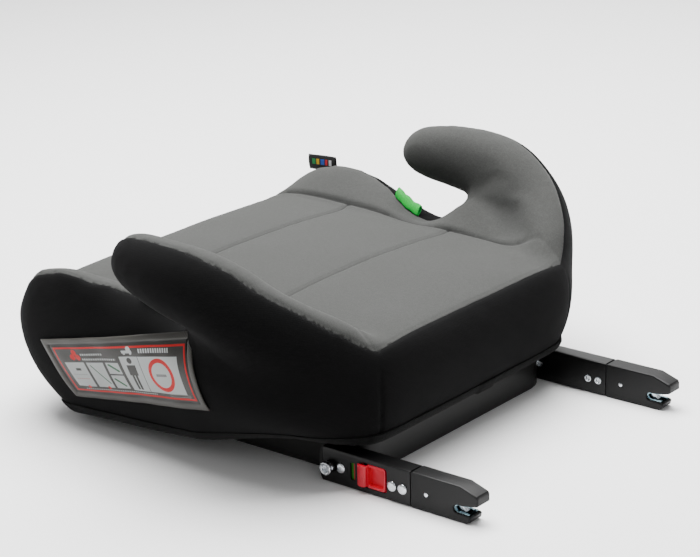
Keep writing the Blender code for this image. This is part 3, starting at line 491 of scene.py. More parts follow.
class Print:
    """Flat marks painted on a look by places on its sheet, in millimetres."""

    def __init__(self, look, colour):
        self.look = look
        self.place = look.node("ShaderNodeUVMap", uv_map="label").outputs[0]
        self.u, self.v, _ = look.node("ShaderNodeSeparateXYZ", {0: self.place}).outputs
        self.result = colour

    def paint(self, mask, colour):
        self.result = self.look.mix(mask, self.result, colour)

    def box(self, left, right, low, high):
        across = self.look.math("COMPARE", self.u, (left + right) / 2, (right - left) / 2)
        upright = self.look.math("COMPARE", self.v, (low + high) / 2, (high - low) / 2)
        return self.look.math("MULTIPLY", across, upright)

    def frame(self, left, right, low, high, width):
        inside = self.box(left + width, right - width, low + width, high - width)
        return self.look.math("SUBTRACT", self.box(left, right, low, high), inside)

    def distance(self, u, v):
        made = self.look.node("ShaderNodeVectorMath", {0: self.place, 1: (u, v, 0)}, operation="DISTANCE")
        return made.outputs["Value"]

    def disc(self, u, v, radius):
        return self.look.math("LESS_THAN", self.distance(u, v), radius)

    def ring(self, u, v, radius, half_width):
        return self.look.math("COMPARE", self.distance(u, v), radius, half_width)

    def words(self, left, right, low, high):
        """A row of short dashes in place of printed words."""
        wave = self.look.math("SINE", self.look.math("MULTIPLY", self.u, 2.3))
        breaks = self.look.math("GREATER_THAN", wave, -0.45)
        return self.look.math("MULTIPLY", self.box(left, right, low, high), breaks)

    def slanted(self, left, low, right, high, half_width):
        """A straight band between two places, inside their box."""
        slope = (high - low) / (right - left)
        line = self.look.math("ADD", self.look.math("MULTIPLY", self.u, slope), low - slope * left)
        near = self.look.math("COMPARE", self.v, line, half_width)
        return self.look.math("MULTIPLY", near, self.box(left, right, min(low, high), max(low, high)))


def label_look():
    """Charcoal sheet with a taped edge and generic marks, without lettering."""
    look = Look("label_print", Specular_IOR_Level=0.35)
    fibres = look.noise(900, 3, 0.6)
    weave = look.woven(0.8, plain_weave)
    sheet = look.ramp(fibres, (0.3, (0.026, 0.025, 0.022)), (0.7, (0.04, 0.038, 0.034)))
    made = Print(look, sheet)
    width, height = LABEL_SIZE
    white, red = (0.72, 0.75, 0.74), (0.75, 0.012, 0.012)
    dark, green = (0.035, 0.034, 0.03), (0.01, 0.12, 0.04)
    inner = made.box(5.2, width - 5.2, 5.2, height - 5.2)
    tape = look.math("SUBTRACT", 1.0, inner)
    ribs = look.math("SINE", look.math("MULTIPLY", look.math("ADD", made.u, made.v), 2.6))
    tape_dark, tape_light = (0.045, 0.043, 0.038), (0.085, 0.081, 0.073)
    tape_tone = look.ramp(look.range(ribs, -1, 1, 0, 1), (0.1, tape_dark), (0.9, tape_light))
    made.paint(tape, tape_tone)
    made.paint(made.frame(6.0, width - 6.0, 6.0, height - 6.0, 0.8), (0.006, 0.006, 0.006))
    made.paint(made.frame(10, width - 8, 8.2, height - 9, 1.7), red)
    for u, v in ((33.5, 49.5), (30, 44.8), (36.6, 44.6)):
        made.paint(made.disc(u, v, 3.0), red)
    made.paint(made.words(41, 68, 46.6, 48.4), white)
    made.paint(made.words(41, 82, 41.8, 43.6), white)
    panels = ((17, 40.5, 14, 39.5), (43.5, 64, 14, 39.5), (67, 83, 28.5, 39.5), (67, 83, 14, 27))
    for left, right, low, high in panels:
        made.paint(made.box(left, right, low, high), white)
    made.paint(made.slanted(47, 37, 62, 18, 1.0), green)
    made.paint(made.slanted(69, 38, 81, 30.5, 1.3), green)
    made.paint(made.slanted(69, 24, 80, 16, 1.2), green)
    made.paint(made.box(27, 33, 31, 33.5), dark)
    made.paint(made.words(21, 37, 22, 22.7), (0.6, 0.25, 0.22))
    made.paint(made.words(20, 38, 26.5, 27.2), (0.4, 0.42, 0.4))
    made.paint(made.disc(31, 13.6, 1.7), red)
    made.paint(made.disc(56, 13.6, 1.7), red)
    made.paint(made.box(87, 155, 13, 45.5), white)
    made.paint(made.box(108.6, 109.2, 13, 45.5), dark)
    made.paint(made.disc(97.5, 41.6, 2.8), dark)
    made.paint(made.box(92.5, 102.5, 28, 37.5), dark)
    made.paint(made.box(94.3, 97.1, 14.5, 28), dark)
    made.paint(made.box(98.1, 100.9, 14.5, 28), dark)
    made.paint(made.ring(132, 29.3, 12.8, 1.8), red)
    made.paint(made.box(126, 138, 28.2, 30.4), (0.3, 0.3, 0.3))
    made.paint(made.box(92, 104, 48.5, 51), white)
    made.paint(made.disc(100.5, 52.2, 2.6), white)
    made.paint(made.disc(94.5, 48.6, 1.5), white)
    made.paint(made.disc(102, 48.6, 1.5), white)
    made.paint(made.words(111, 146, 48.6, 52.4), white)
    made.paint(made.words(24, 116, 10.7, 11.8), (0.5, 0.52, 0.5))
    made.paint(made.frame(134, 158, 10.6, 12.6, 0.3), (0.35, 0.36, 0.34))
    look.colour(made.result)
    look.rough(look.range(fibres, 0.3, 0.7, 0.42, 0.58))
    look.bump(weave, 0.3, 0.0001)
    return look.material


def tag_look():
    look = Look("tag_weave", Roughness=0.7, Specular_IOR_Level=0.3)
    weave = look.woven(0.8, plain_weave)
    base = look.ramp(look.noise(1200, 3, 0.6), (0.3, 0.006), (0.7, 0.014))
    made = Print(look, base)
    bars = ((4, 7, (0.6, 0.6, 0.62)), (8.5, 11, (0.5, 0.02, 0.03)), (12, 16, (0.03, 0.09, 0.4)))
    for left, right, colour in (*bars, (17.5, 20.5, (0.65, 0.4, 0.02)), (21.5, 25, (0.02, 0.25, 0.07))):
        made.paint(made.box(left, right, 6, 11.5), colour)
    look.colour(made.result)
    look.bump(weave, 0.5, 0.0002)
    return look.material


def ribbon_look():
    look = Look("green_ribbon", Roughness=0.6, Specular_IOR_Level=0.2)
    weave = look.woven(0.9, plain_weave)
    fibres = look.noise(1400, 3, 0.6)
    base = look.ramp(fibres, (0.3, (0.0, 0.24, 0.02)), (0.7, (0.002, 0.42, 0.045)))
    tone = look.ramp(weave, (0.2, 0.8), (0.8, 1.1))
    look.colour(look.mix(1.0, base, tone, "MULTIPLY"))
    look.bump(weave, 0.5, 0.0002)
    return look.material


BASE_COLOUR = (0.0045, 0.0045, 0.0043)
ARM_PLASTIC_COLOUR = (0.0035, 0.0035, 0.0036)
PAINT_COLOUR = (0.0022, 0.0022, 0.0023)
LOOKS = {
    "grey": grey_cloth(),
    "black": black_knit(),
    "elastic": elastic_binding(),
    "green": ribbon_look(),
    "label": label_look(),
    "tag": tag_look(),
    "base": moulded("base_polypropylene", BASE_COLOUR, 0.42, grain=1100, spread=0.05, gloss=0.22),
    "arm_plastic": moulded("arm_cover_plastic", ARM_PLASTIC_COLOUR, 0.4, grain=1500, spread=0.06, gloss=0.2),
    "paint": moulded("powder_coat", PAINT_COLOUR, 0.34, grain=1700, depth=0.00008, spread=0.06, gloss=0.25),
    "red": moulded("red_plastic", (0.78, 0.003, 0.03), 0.34, grain=1600, depth=0.00005, spread=0.05),
    "flag": indicator_print(),
    "steel": metal("drawn_steel", (0.5, 0.5, 0.5), 0.32, (1, 0.05, 1)),
    "zinc": metal("zinc_plate", (0.72, 0.78, 0.84), 0.26),
    "zinc_blue": metal("blue_zinc_plate", (0.36, 0.52, 0.58), 0.26),
    "nickel": metal("nickel_plate", (0.74, 0.77, 0.8), 0.2),
}


# ---------------------------------------------------------------- the sewn cover

CLOTH_THICKNESS = 1.8


def thicken(piece, thickness, offset=-1.0):
    solid = piece.modifiers.new("thickness", "SOLIDIFY")
    solid.thickness = thickness * MM
    solid.offset = offset
    bake_modifiers(piece)


def finish_piece(piece, body, slot, *nodes):
    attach(piece, body)
    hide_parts(*nodes)
    return piece


def top_height(x, y):
    """Height of the cloth on top of the seat, away from its rounded rim."""
    across = np.minimum(np.abs(x) / PAN_HALF, 1)
    along = np.minimum(np.abs(y - PAN_MID_Y) / PAN_HALF_LENGTH, 1)
    pan = PAN_Z + PAN_CROWN * (1 - across**2) * (1 - along**2)
    pan = pan - PAN_FRONT_DROP * np.maximum(0, (PAN_FRONT_Y - y) / 50) ** 2
    rise = ramp(np.abs(x), PAN_HALF, smooth_table(RIDGE, y, 1))
    return pan + (smooth_table(RIDGE, y, 2) - PAN_Z) * rise


class Outline:
    """The seat's outline at many places: widest and hem points, outward directions and rim radii."""

    def __init__(self, count):
        right = [(-x, y, -hem_x, hem_y, z) for x, y, hem_x, hem_y, z in reversed(PLAN[1:-1])]
        rows = catmull(PLAN + right, count, closed=True)
        self.wide, self.hem, self.hem_z = rows[:, :2], rows[:, 2:4], rows[:, 4]
        along = np.roll(self.wide, -1, axis=0) - np.roll(self.wide, 1, axis=0)
        along /= np.linalg.norm(along, axis=1)[:, None]
        self.out = np.stack([along[:, 1], -along[:, 0]], axis=1)
        self.rim = REAR_RIM + (FRONT_RIM - REAR_RIM) * np.maximum(0, along[:, 0]) ** 2
        x, y = np.abs(self.wide[:, 0]), self.wide[:, 1]
        self.rim = np.maximum(self.rim, x - smooth_table(RIDGE, y, 1) - RIDGE_EDGE)

    def side(self, height, stand_off=0.0):
        """Points of the side at height above the hem, which may be below 0, moved outwards."""
        z = self.hem_z + height
        fall = (np.clip(WIDEST_Z - z, 0, None) / (WIDEST_Z - self.hem_z)) ** SIDE_CURVE
        fall = np.minimum(fall, 1)[:, None]
        places = self.wide + (self.hem - self.wide) * fall + self.out * stand_off
        return np.column_stack([places, z])

    def level(self, level, stand_off=0.0):
        """Points of the side at a level from 0 at the hem to 1 at the widest outline."""
        return self.side((WIDEST_Z - self.hem_z) * level, stand_off)


def seat_block():
    """The stuffed body without armrests, closed below its hem."""
    outline = Outline(224)
    rings = [outline.side(-22), outline.side(-11)]
    rings += [outline.level(level) for level in np.linspace(0, 1, 13)]
    for level in np.linspace(0.08, 1, 11):
        rise = math.sqrt(1 - (1 - level) ** 2)
        places = outline.wide - outline.out * (outline.rim * level)[:, None]
        z = WIDEST_Z + (top_height(places[:, 0], places[:, 1]) - WIDEST_Z) * rise
        rings.append(np.column_stack([places, z]))
    edge = rings[-1][:, :2]
    centre = np.array([0, TOP_CENTRE_Y])
    for scale in np.linspace(0.96, 0.04, 24):
        places = centre + (edge - centre) * scale
        rings.append(np.column_stack([places, top_height(places[:, 0], places[:, 1])]))
    return loft("seat_block", rings)


def armrest_block(side):
    """One armrest: many ellipses across its curved middle line."""
    rows = catmull(ARMREST, 46)
    along = np.gradient(rows[:, [1, 0]], axis=0)
    along /= np.linalg.norm(along, axis=1)[:, None]
    turn = np.linspace(0, 2 * math.pi, 40, endpoint=False)
    rings = []
    for (y, x, z, tall, wide), (step_x, step_y) in zip(rows, along):
        out = wide * np.cos(turn)
        ring = np.column_stack([x - step_y * out, y + step_x * out, z + tall * np.sin(turn)])
        rings.append(ring * (side, 1, 1))
    y, x, z = ARMREST_TIP
    return loft("armrest_block", rings, last_tip=(side * x, y, z))


def surface_tree(mesh):
    shape = bmesh.new()
    shape.from_mesh(mesh)
    tree = BVHTree.FromBMesh(shape)
    shape.free()
    return tree


def distances(tree, places):
    """Distance of each place to a surface, in millimetres."""
    return np.array([tree.find_nearest(Vector(p * MM))[3] / MM for p in places])


def line_distance(places, line):
    """Distance of each place to a line of points, and how far along it the nearest point is."""
    points = np.array(line, float)
    best = np.full(len(places), 1e9)
    along = np.zeros(len(places))
    start = 0.0
    for a, b in zip(points, points[1:]):
        length = np.linalg.norm(b - a)
        t = np.clip((places - a) @ (b - a) / length**2, 0, 1)
        gap = np.linalg.norm(places - (a + t[:, None] * (b - a)), axis=1)
        nearer = gap < best
        best[nearer] = gap[nearer]
        along[nearer] = (start + t * length)[nearer]
        start += length
    return best, along


def grey_side(places):
    """Below 0 in the grey cloth, above 0 in the black, 0 at their seam, in millimetres."""
    x, y, z = np.abs(places[:, 0]), places[:, 1], places[:, 2]
    arm, body = smooth_table(SEAM, y, 1), smooth_table(SEAM, y, 2)
    half = body + (arm - body) * ramp(z, SEAM_STEP_Z - 4, SEAM_STEP_Z + 4)
    return np.max([x - half, SEAM_LOW_Z - z, y - SEAM[0][0], SEAM[-1][0] - y], axis=0)


def pan_seam_gap(places):
    """Sideways distance to the seam between the pan and the bolsters, above 0 on the bolsters."""
    return np.abs(places[:, 0]) - smooth_table(PAN_SEAM, places[:, 1])


def on_top(places):
    """1 on the upper side of the seat body, 0 on its sides."""
    return ramp(places[:, 2], 99, 106) * ramp(places[:, 1], -236, -228) * (1 - ramp(places[:, 1], 129, 132))


# Creases where an armrest meets the body, mirrored to both sides: points, depth, half width.
CREASES = [
    ([(168, -14, 124), (167, 8, 128), (167, 28, 131), (166, 52, 136)], 2.4, 2.6),
    ([(172, -16, 129), (172, -2, 136), (174, 12, 142)], 1.1, 2.4),
    ([(176, -18, 136), (178, -8, 144), (181, 4, 151)], 1.0, 2.4),
    ([(207, 34, 114), (206, 46, 109), (203, 58, 103)], 1.6, 3.0),
]
DEEPEST_CREASE = 3.0
CORNER_SEAM = [(129.5, 133, 118), (132.5, 137, 104), (133.5, 137.5, 88), (132, 136, 66), (126, 130, 43)]


def crease_field(places):
    """How far sewn lines and creases pull the cloth in at each place, in millimetres."""
    mirrored = places * (1, 1, 1)
    mirrored[:, 0] = np.abs(mirrored[:, 0])
    depth = np.zeros(len(places))
    top = on_top(places)
    gap = pan_seam_gap(places)
    body = ramp(-places[:, 2], -150, -135)
    body *= 1 - 0.8 * ramp(places[:, 1], 60, 105)
    depth += 3.2 * np.exp(-((gap / 2.2) ** 2)) * top * body
    for line in CROSS_LINES:
        across = np.exp(-(((places[:, 1] - line) / 1.8) ** 2))
        depth += 2.4 * across * top * (gap < 0)
    depth += 1.3 * np.exp(-((grey_side(places) / 1.6) ** 2))
    for points, deep, half in CREASES:
        near, along = line_distance(mirrored, points)
        length = np.linalg.norm(np.diff(np.array(points, float), axis=0), axis=1).sum()
        depth += deep * np.exp(-((near / half) ** 2)) * (1 - 0.75 * along / length)
    near, _ = line_distance(mirrored, CORNER_SEAM)
    depth += 1.8 * np.exp(-((near / 1.6) ** 2))
    return depth


def held_by_seams(places):
    """1 where the cloth is sewn down and can't swell, 0 where it is free."""
    held = np.clip(crease_field(places) / 0.8, 0, 1)
    near_hem = 1 - ramp(places[:, 2], 40, 62)
    return np.maximum(held, near_hem)


def puckers(places):
    """Small folds beside the sewn lines and soft unevenness elsewhere, in millimetres."""
    top = on_top(places)
    beside = np.exp(-((pan_seam_gap(places) / 9) ** 2)) * top
    for line in CROSS_LINES:
        beside = np.maximum(beside, 0.7 * np.exp(-(((places[:, 1] - line) / 7) ** 2)) * top)
    beside = np.maximum(beside, 0.8 * np.exp(-((grey_side(places) / 8) ** 2)))
    lift = np.empty(len(places))
    for i, (place, share) in enumerate(zip(places, beside)):
        spot = Vector(place)
        soft = noise.noise(spot / 60) * 0.6
        lift[i] = soft + share * noise.noise(spot / 9) * 0.3
    return lift


def swell(obj, cap):
    """Blows the cloth up between its seams by a short cloth simulation; no point moves over cap."""
    rest = coordinates(obj.data)
    held = held_by_seams(rest)
    group = obj.vertex_groups.new(name="sewn")
    for step in range(11):
        members = np.flatnonzero(np.round(held * 10).astype(int) == step)
        if len(members):
            group.add(members.tolist(), step / 10, "REPLACE")
    cloth = obj.modifiers.new("swell", "CLOTH")
    cloth.settings.vertex_group_mass = "sewn"
    cloth.settings.use_pressure = True
    cloth.settings.uniform_pressure_force = 4
    cloth.settings.effector_weights.gravity = 0
    cloth.settings.tension_stiffness = 12
    cloth.settings.compression_stiffness = 12
    cloth.settings.bending_stiffness = 1.0
    cloth.point_cache.frame_start = 1
    cloth.point_cache.frame_end = 20
    for number in range(1, 21):
        bpy.context.scene.frame_set(number)
    moved = coordinates(evaluated(obj)) - rest
    obj.modifiers.clear()
    obj.vertex_groups.clear()
    bpy.context.scene.frame_set(1)
    size = np.linalg.norm(moved, axis=1)
    scale = cap * np.tanh(size / cap) / np.maximum(size, 1e-6)
    set_coordinates(obj.data, rest + moved * (scale * (1 - held))[:, None])


def cut_at(shape, field):
    """Splits the faces of shape along field = 0; field gives one value for each row of places."""
    layer = shape.verts.layers.float.new("cut_value")
    shape.verts.ensure_lookup_table()
    places = np.array([v.co for v in shape.verts]) / MM
    for vert, value in zip(shape.verts, field(places)):
        vert[layer] = value
    snap = 0.18
    for edge in list(shape.edges):
        a, b = edge.verts
        if a[layer] * b[layer] >= 0:
            continue
        share = a[layer] / (a[layer] - b[layer])
        if snap < share < 1 - snap:
            continue
        near = a if share <= snap else b
        near.co = a.co.lerp(b.co, share)
        near[layer] = 0
    for edge in list(shape.edges):
        a, b = edge.verts
        if a[layer] * b[layer] < 0:
            share = a[layer] / (a[layer] - b[layer])
            _, added = bmesh.utils.edge_split(edge, a, share)
            added[layer] = 0
    for face in list(shape.faces):
        zeros = [v for v in face.verts if v[layer] == 0]
        values = [v[layer] for v in face.verts]
        if len(zeros) == 2 and min(values) < 0 < max(values):
            if not any(zeros[1] in edge.verts for edge in zeros[0].link_edges if edge in face.edges):
                bmesh.utils.face_split(face, zeros[0], zeros[1])
    return layer


def keep_faces(shape, layer, wanted):
    """Removes the faces whose mean value isn't on the wanted side, 1 or -1."""
    gone = [f for f in shape.faces if sum(v[layer] for v in f.verts) * wanted <= 0]
    bmesh.ops.delete(shape, geom=gone, context="FACES")


class HemLine:
    """Height of the hem's lower edge round the seat, by direction from the seat's middle."""

    def __init__(self):
        outline = Outline(720)
        turn = np.arctan2(outline.hem[:, 1] - TOP_CENTRE_Y, outline.hem[:, 0])
        order = np.argsort(turn)
        self.turn, self.z = turn[order], outline.hem_z[order]

    def above(self, places):
        turn = np.arctan2(places[:, 1] - TOP_CENTRE_Y, places[:, 0])
        return places[:, 2] - np.interp(turn, self.turn, self.z, period=2 * math.pi) - HEM + 1.5


def sewn_cover():
    """The whole cover as one skin, then cut along its seams into grey and black cloth."""
    blocks = [seat_block()] + [armrest_block(side) for _, side in SIDES]
    trees = [surface_tree(block) for block in blocks]
    shape = bmesh.new()
    for block in blocks:
        shape.from_mesh(block)
    joined = bpy.data.meshes.new("cover")
    shape.to_mesh(joined)
    shape.free()
    cover = new_object("cover", joined)
    remesh = cover.modifiers.new("union", "REMESH")
    remesh.mode = "VOXEL"
    remesh.voxel_size = 5 * MM
    bake_modifiers(cover)

    places = coordinates(cover.data)
    body = distances(trees[0], places)
    arm = np.minimum(distances(trees[1], places), distances(trees[2], places))
    root = np.exp(-((np.maximum(body, arm) / 11) ** 2))
    relax(cover.data, np.full(len(places), 0.4), 3)
    relax(cover.data, 0.6 * root, 14)
    swell(cover, cap=4.0)
    divide = cover.modifiers.new("fine", "SUBSURF")
    divide.levels = divide.render_levels = 1
    bake_modifiers(cover)
    relax(cover.data, np.full(len(cover.data.vertices), 0.35), 2)

    places = coordinates(cover.data)
    creases = crease_field(places)
    places += normals(cover.data) * (puckers(places) - creases)[:, None]
    set_coordinates(cover.data, places)
    # Crease depth over the deepest crease; the cloth looks use it to paint shade into seams and folds.
    crease = cover.data.attributes.new("crease", "FLOAT", "POINT")
    crease.data.foreach_set("value", (creases / DEEPEST_CREASE).astype(np.float32))

    hem = HemLine()
    top_nodes = ("cover_top_panel", "armrest_foam_left", "armrest_foam_right")
    for name, wanted, look, slot, nodes in (
        ("cover_top_cloth", -1, LOOKS["grey"], "grey_fabric", top_nodes),
        ("cover_side_cloth", 1, LOOKS["black"], "black_fabric", ("cover_skirt", "seat_foam")),
    ):
        shape = bmesh.new()
        shape.from_mesh(cover.data)
        keep_faces(shape, cut_at(shape, hem.above), 1)
        keep_faces(shape, cut_at(shape, grey_side), wanted)
        mesh = bpy.data.meshes.new(name)
        shape.to_mesh(mesh)
        shape.free()
        for spare in list(mesh.attributes):
            if spare.name.startswith("cut_value"):
                mesh.attributes.remove(spare)
        piece = shade(new_object(name, mesh, look))
        thicken(piece, CLOTH_THICKNESS)
        finish_piece(piece, "seat", slot, *nodes)
    bpy.data.objects.remove(cover)


sewn_cover()


# ---------------------------------------------------------------- hem, label, tag and belt loops


def ring_band(name, rings, look):
    """A closed band whose rings follow each other, the last joined to the first."""
    faces = grid_faces(len(rings), len(rings[0]), wrap_rows=True, wrap_columns=True)
    made = new_object(name, mesh_from(name, np.concatenate(rings), faces), look)
    outward(made.data)
    return shade(made, 50)


def outward(mesh):
    shape = bmesh.new()
    shape.from_mesh(mesh)
    bmesh.ops.recalc_face_normals(shape, faces=shape.faces)
    shape.to_mesh(mesh)
    shape.free()


def lay_marks(mesh, marks):
    """Gives each point its place on the printed sheet, in millimetres."""
    layer = mesh.uv_layers.new(name="label")
    for loop in mesh.loops:
        layer.data[loop.index].uv = marks[loop.vertex_index]


def hem_binding():
    """Gathered elastic tape round the hem, with its two ends lapped at the rear."""
    outline = Outline(900)
    x, y = outline.wide[:, 0], outline.wide[:, 1]
    lapped = (y > 120) * ramp(x, -27, -25.5) * (1 - ramp(x, -6, -3))
    gather = 0.25 * np.sin(np.arange(900) * 1.9) + 0.35 * np.sin(np.arange(900) * 0.31 + 1.0)
    section = [(-0.2, 0.2), (0.3, 1.2), (2.0, 1.9), (4.5, 2.2), (7.0, 2.0), (8.8, 1.4), (9.3, 0.5)]
    section += [(8.8, -0.9), (4.5, -1.2), (0.3, -0.9)]
    rings = []
    for height, off in section:
        bulge = (0.9 * lapped + 0.4 * gather) * (off > 0)
        drop = 1.2 * lapped * (height < 3)
        places = outline.side(height, 0.0)
        places[:, :2] += outline.out * (off + bulge)[:, None]
        places[:, 2] += 0.35 * gather - drop
        rings.append(places)
    finish_piece(ring_band("hem_binding", rings, LOOKS["elastic"]), "seat", "elastic", "hem_elastic")


def label_sheet():
    """The printed sheet on the seat's left side, with a raised tape round its edge."""
    outline = Outline(720)
    keep = (outline.wide[:, 0] > 120) & (outline.wide[:, 1] < 80)
    wide, hem, hem_z, out = outline.wide[keep], outline.hem[keep], outline.hem_z[keep], outline.out[keep]
    columns, rows = 130, 50
    places, marks = [], []
    for i in range(columns + 1):
        share = i / columns
        (top_y, top_z), (low_y, low_z) = (
            np.array(front) * (1 - share) + np.array(rear) * share
            for front, rear in zip(LABEL_FRONT, LABEL_REAR)
        )
        for j in range(rows + 1):
            up = j / rows
            y, z = low_y + (top_y - low_y) * up, low_z + (top_z - low_z) * up
            fall = (np.maximum(0, WIDEST_Z - z) / (WIDEST_Z - hem_z)) ** SIDE_CURVE
            u, v = share * LABEL_SIZE[0], up * LABEL_SIZE[1]
            edge = min(u, LABEL_SIZE[0] - u, v, LABEL_SIZE[1] - v)
            stand = 1.9 + 0.7 * (1 - ramp(edge, 4.6, 5.6)) - 0.9 * math.exp(-((edge - 6.4) / 0.7) ** 2)
            stand += 0.5 * math.sin(u / 17) * math.sin(v / 21 + 1) + 0.25 * math.sin(u / 5.3 + v / 9)
            ring = wide + (hem - wide) * fall[:, None] + out * stand
            x = np.interp(y, ring[:, 1], ring[:, 0]) - LABEL_LEAN * max(0, z - WIDEST_Z) ** 2
            places.append((x, y, z))
            marks.append((u, v))
    mesh = mesh_from("side_label", places, grid_faces(columns + 1, rows + 1))
    lay_marks(mesh, marks)
    label = shade(new_object("side_label", mesh, LOOKS["label"]))
    outward_side = sum(face.normal.x for face in mesh.polygons)
    thicken(label, 1.0, -1.0 if outward_side > 0 else 1.0)
    finish_piece(label, "seat", "label", "instruction_label")


def belt_loops():
    """A loop of ribbon in each seam, where the car's belt passes under the armrest."""
    for name, side in SIDES:
        columns, rows = 46, 26
        places = []
        for i in range(columns + 1):
            y = BELT_LOOP_FRONT + BELT_LOOP_LENGTH * i / columns
            ridge_x, ridge_z = (smooth_table(RIDGE, np.array([y]), column)[0] for column in (1, 2))
            for j in range(rows + 1):
                turn = math.radians(-166 + 332 * j / rows)
                wrinkle = noise.noise(Vector((y / 5.5, math.sin(turn) * 0.9, side * 3.1)))
                reach = 5.2 + (5.0 + 0.9 * wrinkle) * math.cos(turn)
                apart = (2.3 + 0.8 * wrinkle) * math.sin(turn) * (0.6 + 0.4 * math.cos(turn / 2))
                x = ridge_x + 0.8 + 0.62 * reach - 0.78 * apart
                z = ridge_z + 0.2 + 0.78 * reach + 0.62 * apart
                places.append((side * x, y + 0.5 * wrinkle, z))
        mesh = mesh_from("belt_loop", places, grid_faces(columns + 1, rows + 1))
        loop = shade(new_object(f"belt_loop_{name}", mesh, LOOKS["green"]))
        thicken(loop, 0.8, 0.0)
        finish_piece(loop, "seat", "green_fabric", f"belt_marker_{name}")


def sewn_tag():
    """A small folded tag in the right front seam."""
    columns, rows = 30, 30
    places, marks = [], []
    for i in range(columns + 1):
        u = i / columns
        for j in range(rows + 1):
            turn = math.radians(-165 + 330 * j / rows)
            reach = 7.6 + 7.4 * math.cos(turn)
            apart = 1.3 * math.sin(turn)
            wave = 0.8 * math.sin(4.2 * u + 0.4) * reach / 15
            x = -192.6 + 3.6 * u + 0.06 * reach - apart - wave
            places.append((x, TAG_START - TAG_LENGTH * u, 130.5 + reach))
            marks.append((TAG_LENGTH * u, reach))
    mesh = mesh_from("sewn_tag", places, grid_faces(columns + 1, rows + 1))
    lay_marks(mesh, marks)
    tag = shade(new_object("sewn_tag", mesh, LOOKS["tag"]))
    thicken(tag, 0.6, 0.0)
    finish_piece(tag, "seat", "label", "side_tag")


hem_binding()
label_sheet()
belt_loops()
sewn_tag()


# ---------------------------------------------------------------- turned metal pieces of the arms


def turned(shape, profile, side, point, count=48):
    """Adds a turned shape to a bmesh; each profile row is (along, radius, sides), with 0 sides for round."""
    y, z = point
    rings = []
    for along, radius, sides in profile:
        ring = []
        for k in range(count):
            angle = 2 * math.pi * k / count
            reach = radius
            if sides:
                step = 2 * math.pi / sides
                reach = radius / math.cos((angle + step / 2) % step - step / 2)
            place = (side * (ARM_X + along), ARM_Y + y + reach * math.cos(angle), z + reach * math.sin(angle))
            ring.append(shape.verts.new(Vector(place) * MM))
        rings.append(ring)
    for lower, upper in zip(rings, rings[1:]):
        for k in range(count):
            m = (k + 1) % count
            shape.faces.new((lower[k], lower[m], upper[m], upper[k]))
    for ring in (rings[0], rings[-1]):
        shape.faces.new(ring)


def turned_piece(name, profiles, side, look):
    """An object made of turned shapes, each a (profile, point)."""
    shape = bmesh.new()
    for profile, point in profiles:
        turned(shape, profile, side, point)
    bmesh.ops.recalc_face_normals(shape, faces=shape.faces)
    mesh = bpy.data.meshes.new(name)
    shape.to_mesh(mesh)
    shape.free()
    return shade(new_object(name, mesh, look), 40)


RIVET_PROFILE = [
    (-7.2, 0.8, 0), (-7.3, 1.7, 0), (-8.5, 2.1, 0), (-8.95, 2.5, 0), (-9.0, 2.9, 0),
    (-8.8, 3.25, 0), (-8.4, 3.3, 0), (-8.35, 2.3, 0), (8.3, 2.3, 0), (8.35, 4.35, 0),
    (8.7, 4.45, 0), (9.1, 4.3, 0), (9.6, 3.7, 0), (9.9, 2.7, 0), (10.05, 1.4, 0), (10.1, 0.4, 0),
]
BOLT_PROFILE = [
    (-45, 2.6, 0), (-44.2, 3.8, 0), (11.95, 4.0, 0), (12.0, 5.1, 0), (12.3, 5.45, 0),
    (12.8, 5.5, 0), (15.6, 5.5, 0), (16.1, 5.4, 0), (16.4, 5.1, 0), (16.5, 4.8, 0), (16.4, 4.0, 0),
    (15.9, 3.2, 6), (13.4, 3.1, 6), (13.3, 0.6, 0),
]
NOSE_PIN_PROFILE = [
    (-8.1, 0.5, 0), (-8.05, 1.5, 0), (-7.8, 1.85, 0), (7.8, 1.85, 0), (8.05, 1.5, 0), (8.1, 0.5, 0),
]
NOSE_PIN = (14.6, 14.2)

for side_name, side_sign in SIDES:
    arm_body = f"arm_{side_name}"
    rivet_profiles = [(RIVET_PROFILE, place) for place in RIVETS.values()]
    rivets = turned_piece(f"rivets_{side_name}", rivet_profiles, side_sign, LOOKS["nickel"])
    finish_piece(rivets, arm_body, "zinc", *[f"rivet_{key}_{side_name}" for key in RIVETS])
    bolt = turned_piece(f"socket_bolt_{side_name}", [(BOLT_PROFILE, BOLT)], side_sign, LOOKS["nickel"])
    finish_piece(bolt, "seat", "bolt_steel", f"pivot_bolt_{side_name}")
    pin = turned_piece(f"bright_pin_{side_name}", [(NOSE_PIN_PROFILE, NOSE_PIN)], side_sign, LOOKS["nickel"])
    finish_piece(pin, arm_body, "zinc", f"nose_pin_{side_name}")
    collar_rings = []
    for along, radius in ((8.7, 4.35), (8.7, 5.0), (9.0, 5.3), (11.4, 5.3), (11.7, 5.0), (11.7, 4.35)):
        turns = np.linspace(0, 2 * math.pi, 48, endpoint=False)
        collar_ring = np.empty((48, 3))
        collar_ring[:, 0] = side_sign * (ARM_X + along)
        collar_ring[:, 1] = ARM_Y + BOLT[0] + radius * np.cos(turns)
        collar_ring[:, 2] = BOLT[1] + radius * np.sin(turns)
        collar_rings.append(collar_ring)
    collar = ring_band(f"bolt_collar_{side_name}", collar_rings, LOOKS["arm_plastic"])
    finish_piece(collar, "seat", "arm_plastic", f"pivot_spacer_{side_name}")


# ---------------------------------------------------------------- carried-over nodes


